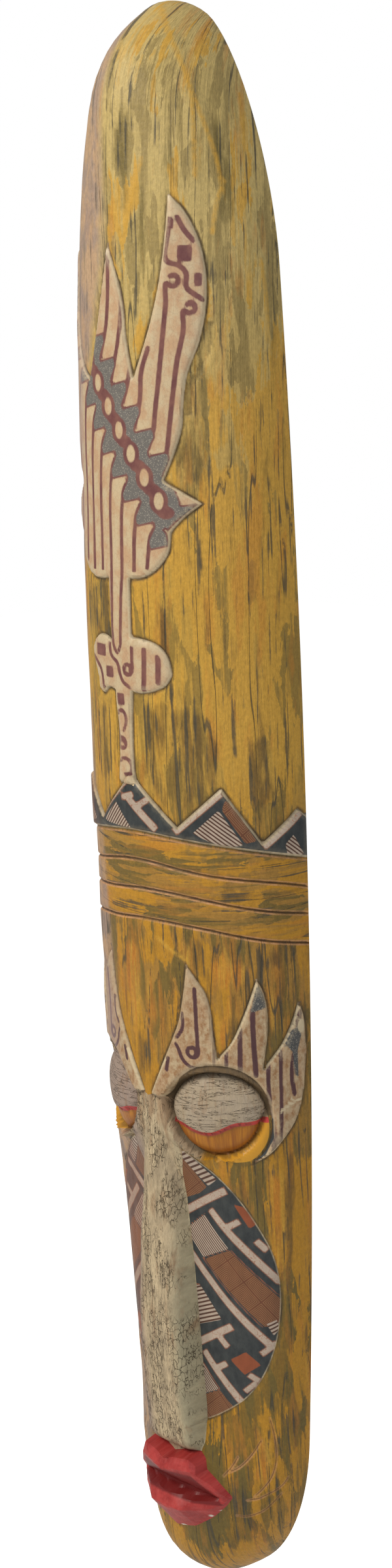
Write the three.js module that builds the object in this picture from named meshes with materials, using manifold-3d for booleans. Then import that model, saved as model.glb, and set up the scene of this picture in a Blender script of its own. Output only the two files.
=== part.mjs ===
// Tall painted wall mask, carved in one piece from half a log, with its back gouged out.
// Millimetres, +Z up, the face looking along -Y, the flat back in the plane y = 0.
// The origin is on the flat back, where the hanger is fixed. Heights on the carving are
// measured downwards from the crown, and arcs along the round front from its midline.

import * as THREE from 'three';
import { ConvexGeometry } from 'three/addons/geometries/ConvexGeometry.js';
import { mergeVertices } from 'three/addons/utils/BufferGeometryUtils.js';
import Module from 'manifold-3d';

const wasm = await Module();
wasm.setup();

// The half log
const HEIGHT = 1000;
const HANGER_DROP = 60; // from the crown down to the origin
const HALF_WIDTH = 77.5;
const WIDEST_AT = 490;
const WIDTH_LOSS_TOP = 18.7;
const WIDTH_LOSS_CHIN = 18.5;
const DEPTH = 71;
const DEEPEST_AT = 370;
const DEPTH_LOSS_TOP = 7.9;
const DEPTH_LOSS_CHIN = 17.1;

// How the two ends are rounded: the length and the fullness of each curve
const CROWN_WIDTH_END = { length: 150, power: 1.77 };
const CROWN_DEPTH_END = { length: 65, power: 2.15 };
const CHIN_WIDTH_END = { length: 110, power: 2.2 };
const CHIN_DEPTH_END = { length: 49, power: 2.5 };
const BACK_EASE = { length: 12, depth: 8.5 };

// The gouged back
const HOLLOW = { from: 112, to: 922, rim: 17, wall: 25 };

// The face
const CHEEK = { depth: 10, inner: 24, outer: 84, from: 668, full: 722, fade: 858, to: 915 };
const EYE = { arc: 47.5, at: 661, radius: 29.5, socket: 9, socketRim: 8, lower: 7.5, upper: 11, lidLine: 667 };
const NOSE = { from: 652, to: 893, sink: 16, round: 12, fullness: 2.6 };
const NOSE_STATIONS = [
  { at: 652, halfWidth: 9, proud: -1 },
  { at: 700, halfWidth: 13, proud: 2.5 },
  { at: 750, halfWidth: 17, proud: 6 },
  { at: 800, halfWidth: 18.5, proud: 8.5 },
  { at: 850, halfWidth: 19.5, proud: 7.5 },
  { at: 893, halfWidth: 20, proud: 5 },
];

// The raised ornament, crown and brow rays
const RELIEF = 1.6;
const ORNAMENT_ARC = -3;
const BORDER_RISE = { arc: 115, drop: 20, power: 1.5 };
const CROWN_FOOT = 482.5;

const BODY_COLUMNS = 26;
const CUTTER_REACH = 22;
const EDGE_STEP = 18;

const paintedWood = new THREE.MeshStandardMaterial({ color: 0xb0862f, roughness: 0.6, metalness: 0 });

function endCurve(distance, { length, power }) {
  const along = Math.min(Math.max(distance / length, 0), 1);
  return Math.sqrt(1 - (1 - along) ** power);
}

function quadraticLoss(drop, peak, lossTop, lossChin) {
  const reach = drop < peak ? peak : HEIGHT - peak;
  const loss = drop < peak ? lossTop : lossChin;
  return loss * ((drop - peak) / reach) ** 2;
}

function halfWidth(drop) {
  const plain = HALF_WIDTH - quadraticLoss(drop, WIDEST_AT, WIDTH_LOSS_TOP, WIDTH_LOSS_CHIN);
  return plain * endCurve(drop, CROWN_WIDTH_END) * endCurve(HEIGHT - drop, CHIN_WIDTH_END);
}

function depth(drop) {
  const plain = DEPTH - quadraticLoss(drop, DEEPEST_AT, DEPTH_LOSS_TOP, DEPTH_LOSS_CHIN);
  return plain * endCurve(drop, CROWN_DEPTH_END) * endCurve(HEIGHT - drop, CHIN_DEPTH_END);
}

// The back edge comes forward a little at the crown and the chin.
function backLine(drop) {
  const near = Math.min(drop, HEIGHT - drop) / BACK_EASE.length;
  return near < 1 ? -BACK_EASE.depth * (1 - near) ** 2 : 0;
}

function smooth(value, low, high) {
  const k = Math.min(Math.max((value - low) / (high - low), 0), 1);
  return k * k * (3 - 2 * k);
}

function heightOf(drop) {
  return HANGER_DROP - drop;
}

// The angle round the front, 0 on the midline, that lies a given arc away from it.
function angleAt(arc, drop) {
  const w = halfWidth(drop);
  const d = depth(drop);
  const step = Math.PI / 360;
  let angle = 0;
  let gone = 0;
  while (gone < Math.abs(arc) && angle < Math.PI / 2) {
    const middle = angle + step / 2;
    gone += step * Math.hypot(w * Math.cos(middle), d * Math.sin(middle));
    angle += step;
  }
  return Math.sign(arc) * Math.min(angle, Math.PI / 2);
}

function arcAt(angle, drop) {
  const w = halfWidth(drop);
  const d = depth(drop);
  const steps = 24;
  let gone = 0;
  for (let i = 0; i < steps; i++) {
    const middle = ((i + 0.5) / steps) * angle;
    gone += (angle / steps) * Math.hypot(w * Math.cos(middle), d * Math.sin(middle));
  }
  return gone;
}

// A point of the round front at an angle, moved out by lift along the surface normal.
function frontPoint(angle, drop, lift = 0) {
  const w = halfWidth(drop);
  const d = depth(drop);
  const normal = new THREE.Vector2(d * Math.sin(angle), -w * Math.cos(angle)).normalize();
  return new THREE.Vector3(
    w * Math.sin(angle) + lift * normal.x,
    backLine(drop) - d * Math.cos(angle) + lift * normal.y,
    heightOf(drop),
  );
}

// How far the cheeks beside the nose and the eye sockets are cut in.
function carvedIn(arc, drop) {
  const side = Math.abs(arc);
  const down = smooth(drop, CHEEK.from, CHEEK.full) * (1 - smooth(drop, CHEEK.fade, CHEEK.to));
  const cheek = CHEEK.depth * down * (1 - smooth(side, CHEEK.inner, CHEEK.outer));
  const fromEye = Math.hypot(side - EYE.arc, drop - EYE.at);
  const socket = EYE.socket * (1 - smooth(fromEye, EYE.radius - 2, EYE.radius + EYE.socketRim));
  return Math.max(cheek, socket);
}

// Closed solids
function solidFrom(geometry) {
  const bare = geometry.clone();
  bare.deleteAttribute('normal');
  bare.deleteAttribute('uv');
  const merged = mergeVertices(bare, 1e-3);
  return new wasm.Manifold(
    new wasm.Mesh({
      numProp: 3,
      vertProperties: new Float32Array(merged.getAttribute('position').array),
      triVerts: new Uint32Array(merged.getIndex().array),
    }),
  );
}

function geometryFrom(points, triangles) {
  const geometry = new THREE.BufferGeometry();
  geometry.setAttribute('position', new THREE.Float32BufferAttribute(points.flatMap((p) => p.toArray()), 3));
  geometry.setIndex(triangles.flat());
  return geometry;
}

// Rings of equal counts from the top down, closed by a point above and one below.
function loft(rings, above, below) {
  const count = rings[0].length;
  const points = [above, ...rings.flat(), below];
  const last = points.length - 1;
  const at = (ring, j) => 1 + ring * count + (j % count);
  const triangles = [];
  for (let j = 0; j < count; j++) {
    triangles.push([0, at(0, j), at(0, j + 1)]);
    for (let i = 0; i + 1 < rings.length; i++) {
      triangles.push([at(i, j), at(i + 1, j), at(i + 1, j + 1)]);
      triangles.push([at(i, j), at(i + 1, j + 1), at(i, j + 1)]);
    }
    triangles.push([last, at(rings.length - 1, j + 1), at(rings.length - 1, j)]);
  }
  return solidFrom(geometryFrom(points, triangles));
}

// Heights of the rings: close together where the ends curve and on the face.
function bodyDrops() {
  const drops = [];
  for (let i = 1; i <= 10; i++) drops.push(80 * (i / 10) ** 2);
  for (let i = 1; i <= 15; i++) drops.push(80 + (640 - 80) * (i / 15));
  for (let i = 1; i <= 24; i++) drops.push(640 + (930 - 640) * (i / 24));
  for (let i = 9; i >= 1; i--) drops.push(HEIGHT - 70 * (i / 10) ** 2);
  return drops;
}

function bodySolid(lift, carved) {
  const rings = bodyDrops().map((drop) => {
    const ring = [];
    for (let j = 0; j <= BODY_COLUMNS; j++) {
      const angle = -Math.PI / 2 + (Math.PI * j) / BODY_COLUMNS;
      const cut = carved ? carvedIn(arcAt(angle, drop), drop) : 0;
      ring.push(frontPoint(angle, drop, lift - cut));
    }
    return ring;
  });
  const crown = new THREE.Vector3(0, -BACK_EASE.depth, heightOf(0));
  const chin = new THREE.Vector3(0, -BACK_EASE.depth, heightOf(HEIGHT));
  return loft(rings, crown, chin);
}

function hollowSolid() {
  const { from, to, rim, wall } = HOLLOW;
  const middle = (from + to) / 2;
  const half = (to - from) / 2;
  const steps = 22;
  const columns = 14;
  const rings = [];
  for (let i = 1; i < steps; i++) {
    const along = -Math.cos((Math.PI * i) / steps);
    const drop = middle + half * along;
    const fade = (1 - along ** 6) ** 0.5;
    const w = (halfWidth(drop) - rim) * fade;
    const d = (depth(drop) - wall) * fade;
    const ring = [];
    for (let j = 0; j <= columns; j++) {
      const angle = -Math.PI / 2 + (Math.PI * j) / columns;
      ring.push(new THREE.Vector3(w * Math.sin(angle), -d * Math.cos(angle), heightOf(drop)));
    }
    ring.push(new THREE.Vector3(w, 5, heightOf(drop)));
    ring.push(new THREE.Vector3(-w, 5, heightOf(drop)));
    rings.push(ring);
  }
  return loft(rings, new THREE.Vector3(0, 2, heightOf(from)), new THREE.Vector3(0, 2, heightOf(to)));
}

// The nose: a straight ridge with rounded edges and a blunt end
function noseStation(drop) {
  const next = Math.max(1, NOSE_STATIONS.findIndex((station) => station.at >= drop));
  const low = NOSE_STATIONS[next - 1];
  const high = NOSE_STATIONS[next];
  const k = smooth(drop, low.at, high.at);
  return {
    halfWidth: low.halfWidth + (high.halfWidth - low.halfWidth) * k,
    proud: low.proud + (high.proud - low.proud) * k,
  };
}

function noseSolid() {
  const rings = [];
  const steps = 16;
  const columns = 10;
  for (let i = 0; i <= steps; i++) {
    const drop = NOSE.from + (NOSE.to - NOSE.from) * Math.sin((Math.PI / 2) * (i / steps));
    const station = noseStation(drop);
    const end = Math.sqrt(Math.max(0.04, 1 - Math.max(0, 1 - (NOSE.to - drop) / NOSE.round) ** 2));
    const base = -depth(drop) + NOSE.sink;
    const rise = (NOSE.sink + station.proud) * (0.35 + 0.65 * end);
    const ring = [];
    for (let j = 0; j <= columns; j++) {
      const angle = -Math.PI / 2 + (Math.PI * j) / columns;
      const across = Math.sign(Math.sin(angle)) * Math.abs(Math.sin(angle)) ** (2 / NOSE.fullness);
      const out = Math.cos(angle) ** (2 / NOSE.fullness);
      ring.push(new THREE.Vector3(station.halfWidth * end * across, base - rise * out, heightOf(drop)));
    }
    rings.push(ring);
  }
  const inside = (drop) => new THREE.Vector3(0, -depth(drop) + NOSE.sink - 2, heightOf(drop));
  return loft(rings, inside(NOSE.from - 0.5), inside(NOSE.to + 0.5));
}

// One eye: a domed upper lid that overhangs a flatter lower lid
function domeSolid(side, height) {
  const angle = angleAt(side * EYE.arc, EYE.at);
  const seat = frontPoint(angle, EYE.at, -EYE.socket);
  const dome = new THREE.SphereGeometry(1, 20, 12);
  const turn = new THREE.Matrix4().makeRotationZ(angle);
  const size = new THREE.Matrix4().makeScale(EYE.radius * 0.97, height, EYE.radius);
  const place = new THREE.Matrix4().makeTranslation(seat.x, seat.y, seat.z);
  dome.rotateX(Math.PI / 2);
  dome.applyMatrix4(place.multiply(turn).multiply(size));
  return solidFrom(dome);
}

function eyeSolid(side) {
  const above = new THREE.BoxGeometry(400, 400, 100);
  above.translate(0, 0, heightOf(EYE.lidLine) + 50);
  const upper = domeSolid(side, EYE.upper).intersect(solidFrom(above));
  return domeSolid(side, EYE.lower).add(upper);
}

// The mouth: an upper and a lower lip, each a blunt wedge that stands well out
const MOUTH_UPPER = [
  [39, -47, 922], [29, -50, 899], [24, -60, 897], [8, -66, 896], [0, -66, 900],
  [30, -58, 915], [16, -75, 911], [0, -76, 914], [0, -60, 929], [22, -58, 927], [30, -40, 915], [0, -40, 905],
];
const MOUTH_LOWER = [
  [38, -47, 923], [28, -58, 929], [14, -73, 930], [0, -74, 931], [0, -58, 950],
  [14, -56, 946], [28, -50, 937], [0, -60, 925], [22, -40, 935], [0, -40, 945],
];

function lipSolid(half) {
  const points = [];
  for (const [x, y, drop] of half) {
    points.push(new THREE.Vector3(x, y, heightOf(drop)));
    if (x > 0) points.push(new THREE.Vector3(-x, y, heightOf(drop)));
  }
  return solidFrom(new ConvexGeometry(points));
}

// Outlines on the round front, as [arc, drop] points
const LEAF_MIDDLE = [[0, 136], [7, 156], [11, 172], [12.5, 190], [17, 213]];
const LEAF_INNER = [[17, 213], [24, 196], [30, 178], [35.5, 155], [39, 130], [40, 111]];
const LEAF_OUTER = [
  [40, 111], [49, 119], [57, 133], [62, 150], [62.5, 175], [58, 195], [50, 217],
  [48, 230], [48, 242], [43, 257], [34, 272],
];
const SPIKE = [[34, 272], [46, 278], [60, 284], [46, 296], [37, 303]];
const LOBE = [[37, 303], [34, 315], [27, 324], [18, 328], [9, 329]];
const CROSSBAR = [[9, 363], [21, 365], [31, 371], [35.5, 381], [34, 391], [27, 396], [18, 398.5], [8, 399]];
const STEM_FOOT = [7, 452];

function ornamentOutline() {
  const right = [...LEAF_MIDDLE, ...LEAF_INNER.slice(1), ...LEAF_OUTER.slice(1), ...SPIKE.slice(1)];
  right.push(...LOBE.slice(1), ...CROSSBAR, STEM_FOOT);
  const left = right.slice(1).reverse().map(([arc, drop]) => [-arc, drop]);
  return [...right, ...left].map(([arc, drop]) => [arc + ORNAMENT_ARC, drop]);
}

// The lines across the forehead sink towards the sides.
function bandDrop(middle, arc) {
  return middle + BORDER_RISE.drop * (Math.abs(arc) / BORDER_RISE.arc) ** BORDER_RISE.power;
}

const CROWN_POINTS = [[0, 447], [32, 478], [60, 454], [84, 489], [105, 474]];

function crownOutline() {
  const top = [...CROWN_POINTS.slice(1).reverse().map(([arc, drop]) => [-arc, drop]), ...CROWN_POINTS];
  const foot = [];
  for (let arc = 105; arc >= -105; arc -= EDGE_STEP) {
    foot.push([arc, bandDrop(CROWN_FOOT, arc)]);
  }
  return [...top, ...foot];
}

const BROW_RAYS = [
  [3, 650], [10, 637], [16, 624], [21, 612], [25, 600], [28, 590], [33, 564.5],
  [40, 574], [46, 587], [48.5, 600], [50.5, 622], [60, 608], [66, 597], [71, 586], [76, 573.5],
  [80, 582], [82.5, 592], [81.5, 612], [78, 632], [88, 622], [95, 611], [101, 600], [104, 592],
  [106, 605], [106, 630], [103, 655], [99, 668], [92, 680], [82, 689], [70, 691], [50, 690],
  [30, 685], [18, 672], [10, 662],
];

function browOutline(side) {
  const points = BROW_RAYS.map(([arc, drop]) => [side * arc, drop]);
  return side > 0 ? points : points.reverse();
}

// Everything behind and in front of an outline, square to the round surface.
function cutterFor(outline) {
  const fine = [];
  outline.forEach(([arc, drop], i) => {
    const [nextArc, nextDrop] = outline[(i + 1) % outline.length];
    const steps = Math.max(1, Math.ceil(Math.hypot(nextArc - arc, nextDrop - drop) / EDGE_STEP));
    for (let k = 0; k < steps; k++) {
      fine.push([arc + ((nextArc - arc) * k) / steps, drop + ((nextDrop - drop) * k) / steps]);
    }
  });
  const flat = fine.map(([arc, drop]) => new THREE.Vector2(arc, -drop));
  const faces = THREE.ShapeUtils.triangulateShape(flat, []);
  const outward = THREE.ShapeUtils.isClockWise(flat) ? -1 : 1;
  const outer = fine.map(([arc, drop]) => frontPoint(angleAt(arc, drop), drop, CUTTER_REACH));
  const inner = fine.map(([arc, drop]) => frontPoint(angleAt(arc, drop), drop, -CUTTER_REACH));
  const count = fine.length;
  const triangles = [];
  for (const [a, b, c] of faces) {
    triangles.push([a, b, c]);
    triangles.push([count + a, count + c, count + b]);
  }
  for (let i = 0; i < count; i++) {
    const next = (i + 1) % count;
    const wall = [[i, count + i, count + next], [i, count + next, next]];
    triangles.push(...(outward > 0 ? wall : wall.map(([a, b, c]) => [a, c, b])));
  }
  return solidFrom(geometryFrom([...outer, ...inner], triangles));
}

function maskSolid() {
  const raisedFront = bodySolid(RELIEF, true);
  let mask = bodySolid(0, true);
  for (const outline of [ornamentOutline(), crownOutline(), browOutline(1), browOutline(-1)]) {
    mask = mask.add(raisedFront.intersect(cutterFor(outline)));
  }
  mask = mask.add(noseSolid()).add(eyeSolid(1)).add(eyeSolid(-1));
  mask = mask.add(lipSolid(MOUTH_UPPER)).add(lipSolid(MOUTH_LOWER));
  return mask.subtract(hollowSolid());
}

function meshOf(name, solid, material) {
  const { vertProperties, triVerts, numProp } = solid.getMesh();
  const geometry = new THREE.BufferGeometry();
  const positions = new Float32Array((vertProperties.length / numProp) * 3);
  for (let i = 0; i < positions.length / 3; i++) {
    positions.set(vertProperties.subarray(i * numProp, i * numProp + 3), 3 * i);
  }
  geometry.setAttribute('position', new THREE.BufferAttribute(positions, 3));
  geometry.setIndex(new THREE.BufferAttribute(new Uint32Array(triVerts), 1));
  geometry.computeVertexNormals();
  const mesh = new THREE.Mesh(geometry, material);
  mesh.name = name;
  return mesh;
}

const part = new THREE.Group();
part.name = 'wall_mask';
part.add(meshOf('mask', maskSolid(), paintedWood));

export default part;
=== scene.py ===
"""Tall painted wall mask: the carved half log as one fine mesh, with its relief and its paint.

Places on the carving are in millimetres: an arc round the front from the midline, positive
towards +X, and a drop from the crown. They become metres when the mesh is made.
"""

import logging
import math
from collections.abc import Sequence
from dataclasses import dataclass, field
from enum import IntEnum

import bmesh
import bpy
import numpy as np
from mathutils import Matrix, Vector


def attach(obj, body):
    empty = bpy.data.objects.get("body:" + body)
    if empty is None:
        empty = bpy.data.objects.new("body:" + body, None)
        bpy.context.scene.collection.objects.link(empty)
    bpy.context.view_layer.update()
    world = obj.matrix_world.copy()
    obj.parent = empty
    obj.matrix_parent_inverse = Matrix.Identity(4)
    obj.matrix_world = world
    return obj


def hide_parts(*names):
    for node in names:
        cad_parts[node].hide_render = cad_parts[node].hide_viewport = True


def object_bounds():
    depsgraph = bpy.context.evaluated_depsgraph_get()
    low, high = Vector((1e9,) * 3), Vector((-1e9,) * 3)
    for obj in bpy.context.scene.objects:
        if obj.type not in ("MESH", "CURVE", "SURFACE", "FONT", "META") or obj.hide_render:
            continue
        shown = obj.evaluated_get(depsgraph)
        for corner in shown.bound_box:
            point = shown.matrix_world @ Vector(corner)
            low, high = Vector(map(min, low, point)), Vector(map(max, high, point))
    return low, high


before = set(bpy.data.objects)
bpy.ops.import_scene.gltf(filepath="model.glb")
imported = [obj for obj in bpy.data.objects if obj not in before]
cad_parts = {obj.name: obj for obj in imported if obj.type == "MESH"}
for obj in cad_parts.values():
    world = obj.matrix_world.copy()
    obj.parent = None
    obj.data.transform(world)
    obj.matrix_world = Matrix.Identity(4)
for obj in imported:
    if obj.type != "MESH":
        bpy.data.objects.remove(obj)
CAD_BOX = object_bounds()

log = logging.getLogger("wall_mask")

MM = 0.001
REACH = 9.0  # how far from a shape its distance is still worked out
CURVE_STEP = 2.5  # the greatest distance between the points of a drawn curve
BROWS_FROM = 520.0  # the drop between the crown and the brow rays
CHEEK_FROM = 600.0  # the drop from which the woven pattern is the cheeks'

Point = tuple[float, float]
Run = tuple[Point, ...]
Point3 = tuple[float, float, float]
Array = np.ndarray
Socket = bpy.types.NodeSocket


def ease(value: Array, low: float, high: float) -> Array:
    """Rises smoothly from 0 at low to 1 at high."""
    k = np.clip((value - low) / (high - low), 0.0, 1.0)
    return k * k * (3 - 2 * k)


def curve_through(points: Run | Array, step: float = CURVE_STEP) -> Array:
    """Draws a smooth curve through a few points.

    Args:
        points: the points to pass through.
        step: the greatest distance between the points returned.

    Returns:
        The curve's points, the given ones among them.
    """
    given = np.asarray(points, float)
    along = np.concatenate([[0.0], np.cumsum(np.linalg.norm(np.diff(given, axis=0), axis=1))])
    if len(given) == 2:
        slope = np.repeat((given[1:] - given[:1]) / along[-1], 2, axis=0)
    else:
        slope = np.gradient(given, along, axis=0)
    stretches = [
        np.linspace(a, b, max(1, math.ceil((b - a) / step)) + 1)
        for a, b in zip(along[:-1], along[1:])
    ]
    fine = np.unique(np.concatenate(stretches))
    i = np.clip(np.searchsorted(along, fine, side="right") - 1, 0, len(given) - 2)
    length = (along[i + 1] - along[i])[:, None]
    k = (fine - along[i])[:, None] / length
    return (
        (2 * k**3 - 3 * k**2 + 1) * given[i]
        + (k**3 - 2 * k**2 + k) * length * slope[i]
        + (3 * k**2 - 2 * k**3) * given[i + 1]
        + (k**3 - k**2) * length * slope[i + 1]
    )


def mirrored(points: Run, about: float = 0.0) -> Run:
    """The same points on the other side of a line down the front."""
    return tuple((2 * about - arc, drop) for arc, drop in points)


def chained(*runs: Run) -> tuple[Run, ...]:
    """Joins runs into a closed outline, each starting where the one before ends."""
    return tuple((before[-1], *run) for before, run in zip((runs[-1], *runs[:-1]), runs))


def straight(points: Run) -> tuple[Run, ...]:
    """The straight stretches from point to point, each a run of its own."""
    return tuple(zip(points[:-1], points[1:]))


def reflected(runs: tuple[Run, ...]) -> tuple[Run, ...]:
    """The mirror image of runs down one side, as it goes on round the outline."""
    return tuple(mirrored(run)[::-1] for run in reversed(runs))


def coil(centre: Point, radius: float, start: float, turns: float) -> Run:
    """Points of a curl that winds in from its rim.

    Args:
        centre: the middle of the curl.
        radius: the radius where it starts.
        start: the angle of its start in degrees, 0 to the right and 90 down.
        turns: how many turns it makes, negative to wind the other way.

    Returns:
        The points from the rim inwards.
    """
    steps, closing = 9, 0.3
    points = []
    for i in range(steps + 1):
        angle = math.radians(start + 360 * turns * i / steps)
        r = radius * (1 - closing * i / steps)
        points.append((centre[0] + r * math.cos(angle), centre[1] + r * math.sin(angle)))
    return tuple(points)


@dataclass
class Places:
    """Points of the front, and how far they are from what is carved or painted there."""

    arc: Array
    drop: Array

    def near(self, path: Array, reach: float) -> Array:
        """Tells which points are within reach of a path's box."""
        low, high = path.min(axis=0) - reach, path.max(axis=0) + reach
        across = (self.arc > low[0]) & (self.arc < high[0])
        return across & (self.drop > low[1]) & (self.drop < high[1])

    def gap(self, path: Array, reach: float = REACH) -> tuple[Array, Array]:
        """Measures the distance to a path.

        Args:
            path: the points of the path, an open line.
            reach: the greatest distance that matters.

        Returns:
            The distance of each point, and 1 or -1 for the side of the path that it is on.
        """
        distance = np.full(self.arc.shape, reach)
        side = np.ones(self.arc.shape)
        chosen = self.near(path, reach)
        x, y = self.arc[chosen], self.drop[chosen]
        best = np.full(x.shape, reach * reach)
        which = np.ones(x.shape)
        for (ax, ay), (bx, by) in zip(path[:-1], path[1:]):
            dx, dy = bx - ax, by - ay
            k = np.clip(((x - ax) * dx + (y - ay) * dy) / max(dx * dx + dy * dy, 1e-9), 0, 1)
            ex, ey = x - ax - k * dx, y - ay - k * dy
            square = ex * ex + ey * ey
            nearer = square < best
            best = np.where(nearer, square, best)
            which = np.where(nearer, np.sign(dx * ey - dy * ex), which)
        distance[chosen] = np.sqrt(best)
        side[chosen] = which
        return distance, side

    def within(self, polygon: Array) -> Array:
        """Tells which points are inside a closed outline."""
        result = np.zeros(self.arc.shape, bool)
        chosen = self.near(polygon, 0.0)
        x, y = self.arc[chosen], self.drop[chosen]
        odd = np.zeros(x.shape, bool)
        for (ax, ay), (bx, by) in zip(polygon, np.roll(polygon, -1, axis=0)):
            if ay != by:
                odd ^= ((ay > y) != (by > y)) & (x < (bx - ax) * (y - ay) / (by - ay) + ax)
        result[chosen] = odd
        return result

    def inside(self, polygon: Array, reach: float = REACH) -> Array:
        """Distance from a closed outline, positive inside it."""
        gap = self.gap(np.vstack([polygon, polygon[:1]]), reach)[0]
        return np.where(self.within(polygon), gap, -gap)

    def folded(self) -> "Places":
        """The same points with both sides of the face laid on the +X side."""
        return Places(np.abs(self.arc), self.drop)

    def shifted(self, arc: Array, drop: Array) -> "Places":
        """The same points, moved by an arc and a drop of their own."""
        return Places(self.arc + arc, self.drop + drop)


@dataclass(frozen=True)
class Stroke:
    """A brush stroke or a cut of one width along a smooth curve."""

    points: Run
    width: float = 2.0

    def cover(self, places: Places) -> Array:
        """Distance inside the stroke's edge, negative outside."""
        return self.width / 2 - places.gap(curve_through(self.points))[0]


@dataclass(frozen=True)
class Patch:
    """A filled shape with straight sides, grown by some distance."""

    points: Run
    grow: float = 0.0

    def cover(self, places: Places) -> Array:
        """Distance inside the patch's edge, negative outside."""
        return places.inside(np.asarray(self.points, float)) + self.grow


@dataclass(frozen=True)
class Oval:
    """A filled oval."""

    centre: Point
    radii: Point

    def cover(self, places: Places) -> Array:
        """Distance inside the oval's edge, roughly, negative outside."""
        across = (places.arc - self.centre[0]) / self.radii[0]
        down = (places.drop - self.centre[1]) / self.radii[1]
        return np.clip((1 - np.hypot(across, down)) * min(self.radii), -REACH, REACH)


Shape = Stroke | Patch | Oval


def bar(start: Point, end: Point, width: float) -> Patch:
    """A straight bar with square ends."""
    (ax, ay), (bx, by) = start, end
    length = math.hypot(bx - ax, by - ay)
    nx, ny = -(by - ay) / length * width / 2, (bx - ax) / length * width / 2
    return Patch(((ax + nx, ay + ny), (bx + nx, by + ny), (bx - nx, by - ny), (ax - nx, ay - ny)))


def cover_of(shapes: Sequence[Shape], places: Places) -> Array:
    """Measures the distance to several shapes.

    Args:
        shapes: the shapes, or outlines.
        places: where it is measured.

    Returns:
        The distance inside the nearest of them, negative outside them all.
    """
    result = np.full(places.arc.shape, -REACH)
    for shape in shapes:
        result = np.maximum(result, shape.cover(places))
    return result


def rolling(places: Places, size: Point, seed: int) -> Array:
    """Smooth unevenness between -1 and 1.

    Args:
        places: where it is wanted.
        size: the size of its lumps along the arc and down the drop.
        seed: the seed of its random lattice.

    Returns:
        A value for each place.
    """
    count = 256
    lattice = np.random.default_rng(seed).uniform(-1, 1, (count, count))
    x, y = places.arc / size[0] + count, places.drop / size[1]
    column, row = np.floor(x).astype(int), np.floor(y).astype(int)
    kx, ky = ease(x - column, 0, 1), ease(y - row, 0, 1)
    corner = [[lattice[(row + i) % count, (column + j) % count] for j in (0, 1)] for i in (0, 1)]
    upper = corner[0][0] * (1 - kx) + corner[0][1] * kx
    lower = corner[1][0] * (1 - kx) + corner[1][1] * kx
    return upper * (1 - ky) + lower * ky


def read(items: bpy.types.bpy_prop_collection, name: str, kind: type = np.int32) -> Array:
    """Reads one property of a mesh's points, loops or faces.

    Args:
        items: the points, loops or faces.
        name: the property.
        kind: the kind of number; a float stands for a vector of three.

    Returns:
        A value or a vector for each.
    """
    width = 1 if kind is np.int32 else 3
    values = np.empty(len(items) * width, kind)
    items.foreach_get(name, values)
    return values if width == 1 else values.reshape(-1, width)


def placed(name: str, data: bpy.types.ID) -> bpy.types.Object:
    """Puts an object with some data in the scene."""
    thing = bpy.data.objects.new(name, data)
    bpy.context.scene.collection.objects.link(thing)
    return thing


class Zone(IntEnum):
    """The painted areas, in the order of the mask's material slots."""

    BASE = 0
    BATIK = 1
    WOVEN = 2
    CRACKED = 3
    LID = 4
    LIP = 5
    BACK = 6


@dataclass(frozen=True)
class Outline:
    """A closed outline on the front: smooth runs that meet at corners."""

    runs: tuple[Run, ...]
    zone: Zone

    def polygon(self) -> Array:
        """The outline's points, once round."""
        return np.vstack([curve_through(run)[:-1] for run in self.runs])

    def both(self) -> list["Outline"]:
        """The outline and its mirror image across the midline."""
        return [self, Outline(tuple(mirrored(run) for run in self.runs), self.zone)]

    def cover(self, places: Places) -> Array:
        """Distance inside the outline, negative outside."""
        return places.inside(self.polygon())


@dataclass(frozen=True)
class EndCurve:
    """How one end of the log is rounded over."""

    length: float
    power: float

    def at(self, distance: Array) -> Array:
        """The share of the full size at a distance from the end."""
        return np.sqrt(1 - (1 - np.clip(distance / self.length, 0, 1)) ** self.power)


@dataclass(frozen=True)
class HalfLog:
    """The plain half log before its relief is cut."""

    height: float = 1000.0
    hanger_drop: float = 60.0
    widest: float = 77.5
    widest_at: float = 490.0
    width_loss: Point = (18.7, 18.5)
    deepest: float = 71.0
    deepest_at: float = 370.0
    depth_loss: Point = (7.9, 17.1)
    crown: tuple[EndCurve, EndCurve] = (EndCurve(150, 1.77), EndCurve(65, 2.15))
    chin: tuple[EndCurve, EndCurve] = (EndCurve(110, 2.2), EndCurve(49, 2.5))
    back_ease: Point = (12.0, 8.5)

    def loss(self, drop: Array, peak: float, losses: Point) -> Array:
        """How much narrower the log is than at its peak."""
        above = losses[0] * ((drop - peak) / peak) ** 2
        below = losses[1] * ((drop - peak) / (self.height - peak)) ** 2
        return np.where(drop < peak, above, below)

    def half_width(self, drop: Array) -> Array:
        """Half the width of the back at a drop."""
        plain = self.widest - self.loss(drop, self.widest_at, self.width_loss)
        return plain * self.crown[0].at(drop) * self.chin[0].at(self.height - drop)

    def depth(self, drop: Array) -> Array:
        """Distance from the back to the front at a drop."""
        plain = self.deepest - self.loss(drop, self.deepest_at, self.depth_loss)
        return plain * self.crown[1].at(drop) * self.chin[1].at(self.height - drop)

    def back_line(self, drop: Array) -> Array:
        """Where the back edge is, which comes forward at the crown and the chin."""
        length, depth = self.back_ease
        near = np.minimum(drop, self.height - drop) / length
        return np.where(near < 1, -depth * (1 - near) ** 2, 0.0)

    def up(self, drop: Array) -> Array:
        """Height above the hanger of a drop from the crown."""
        return self.hanger_drop - drop


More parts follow.
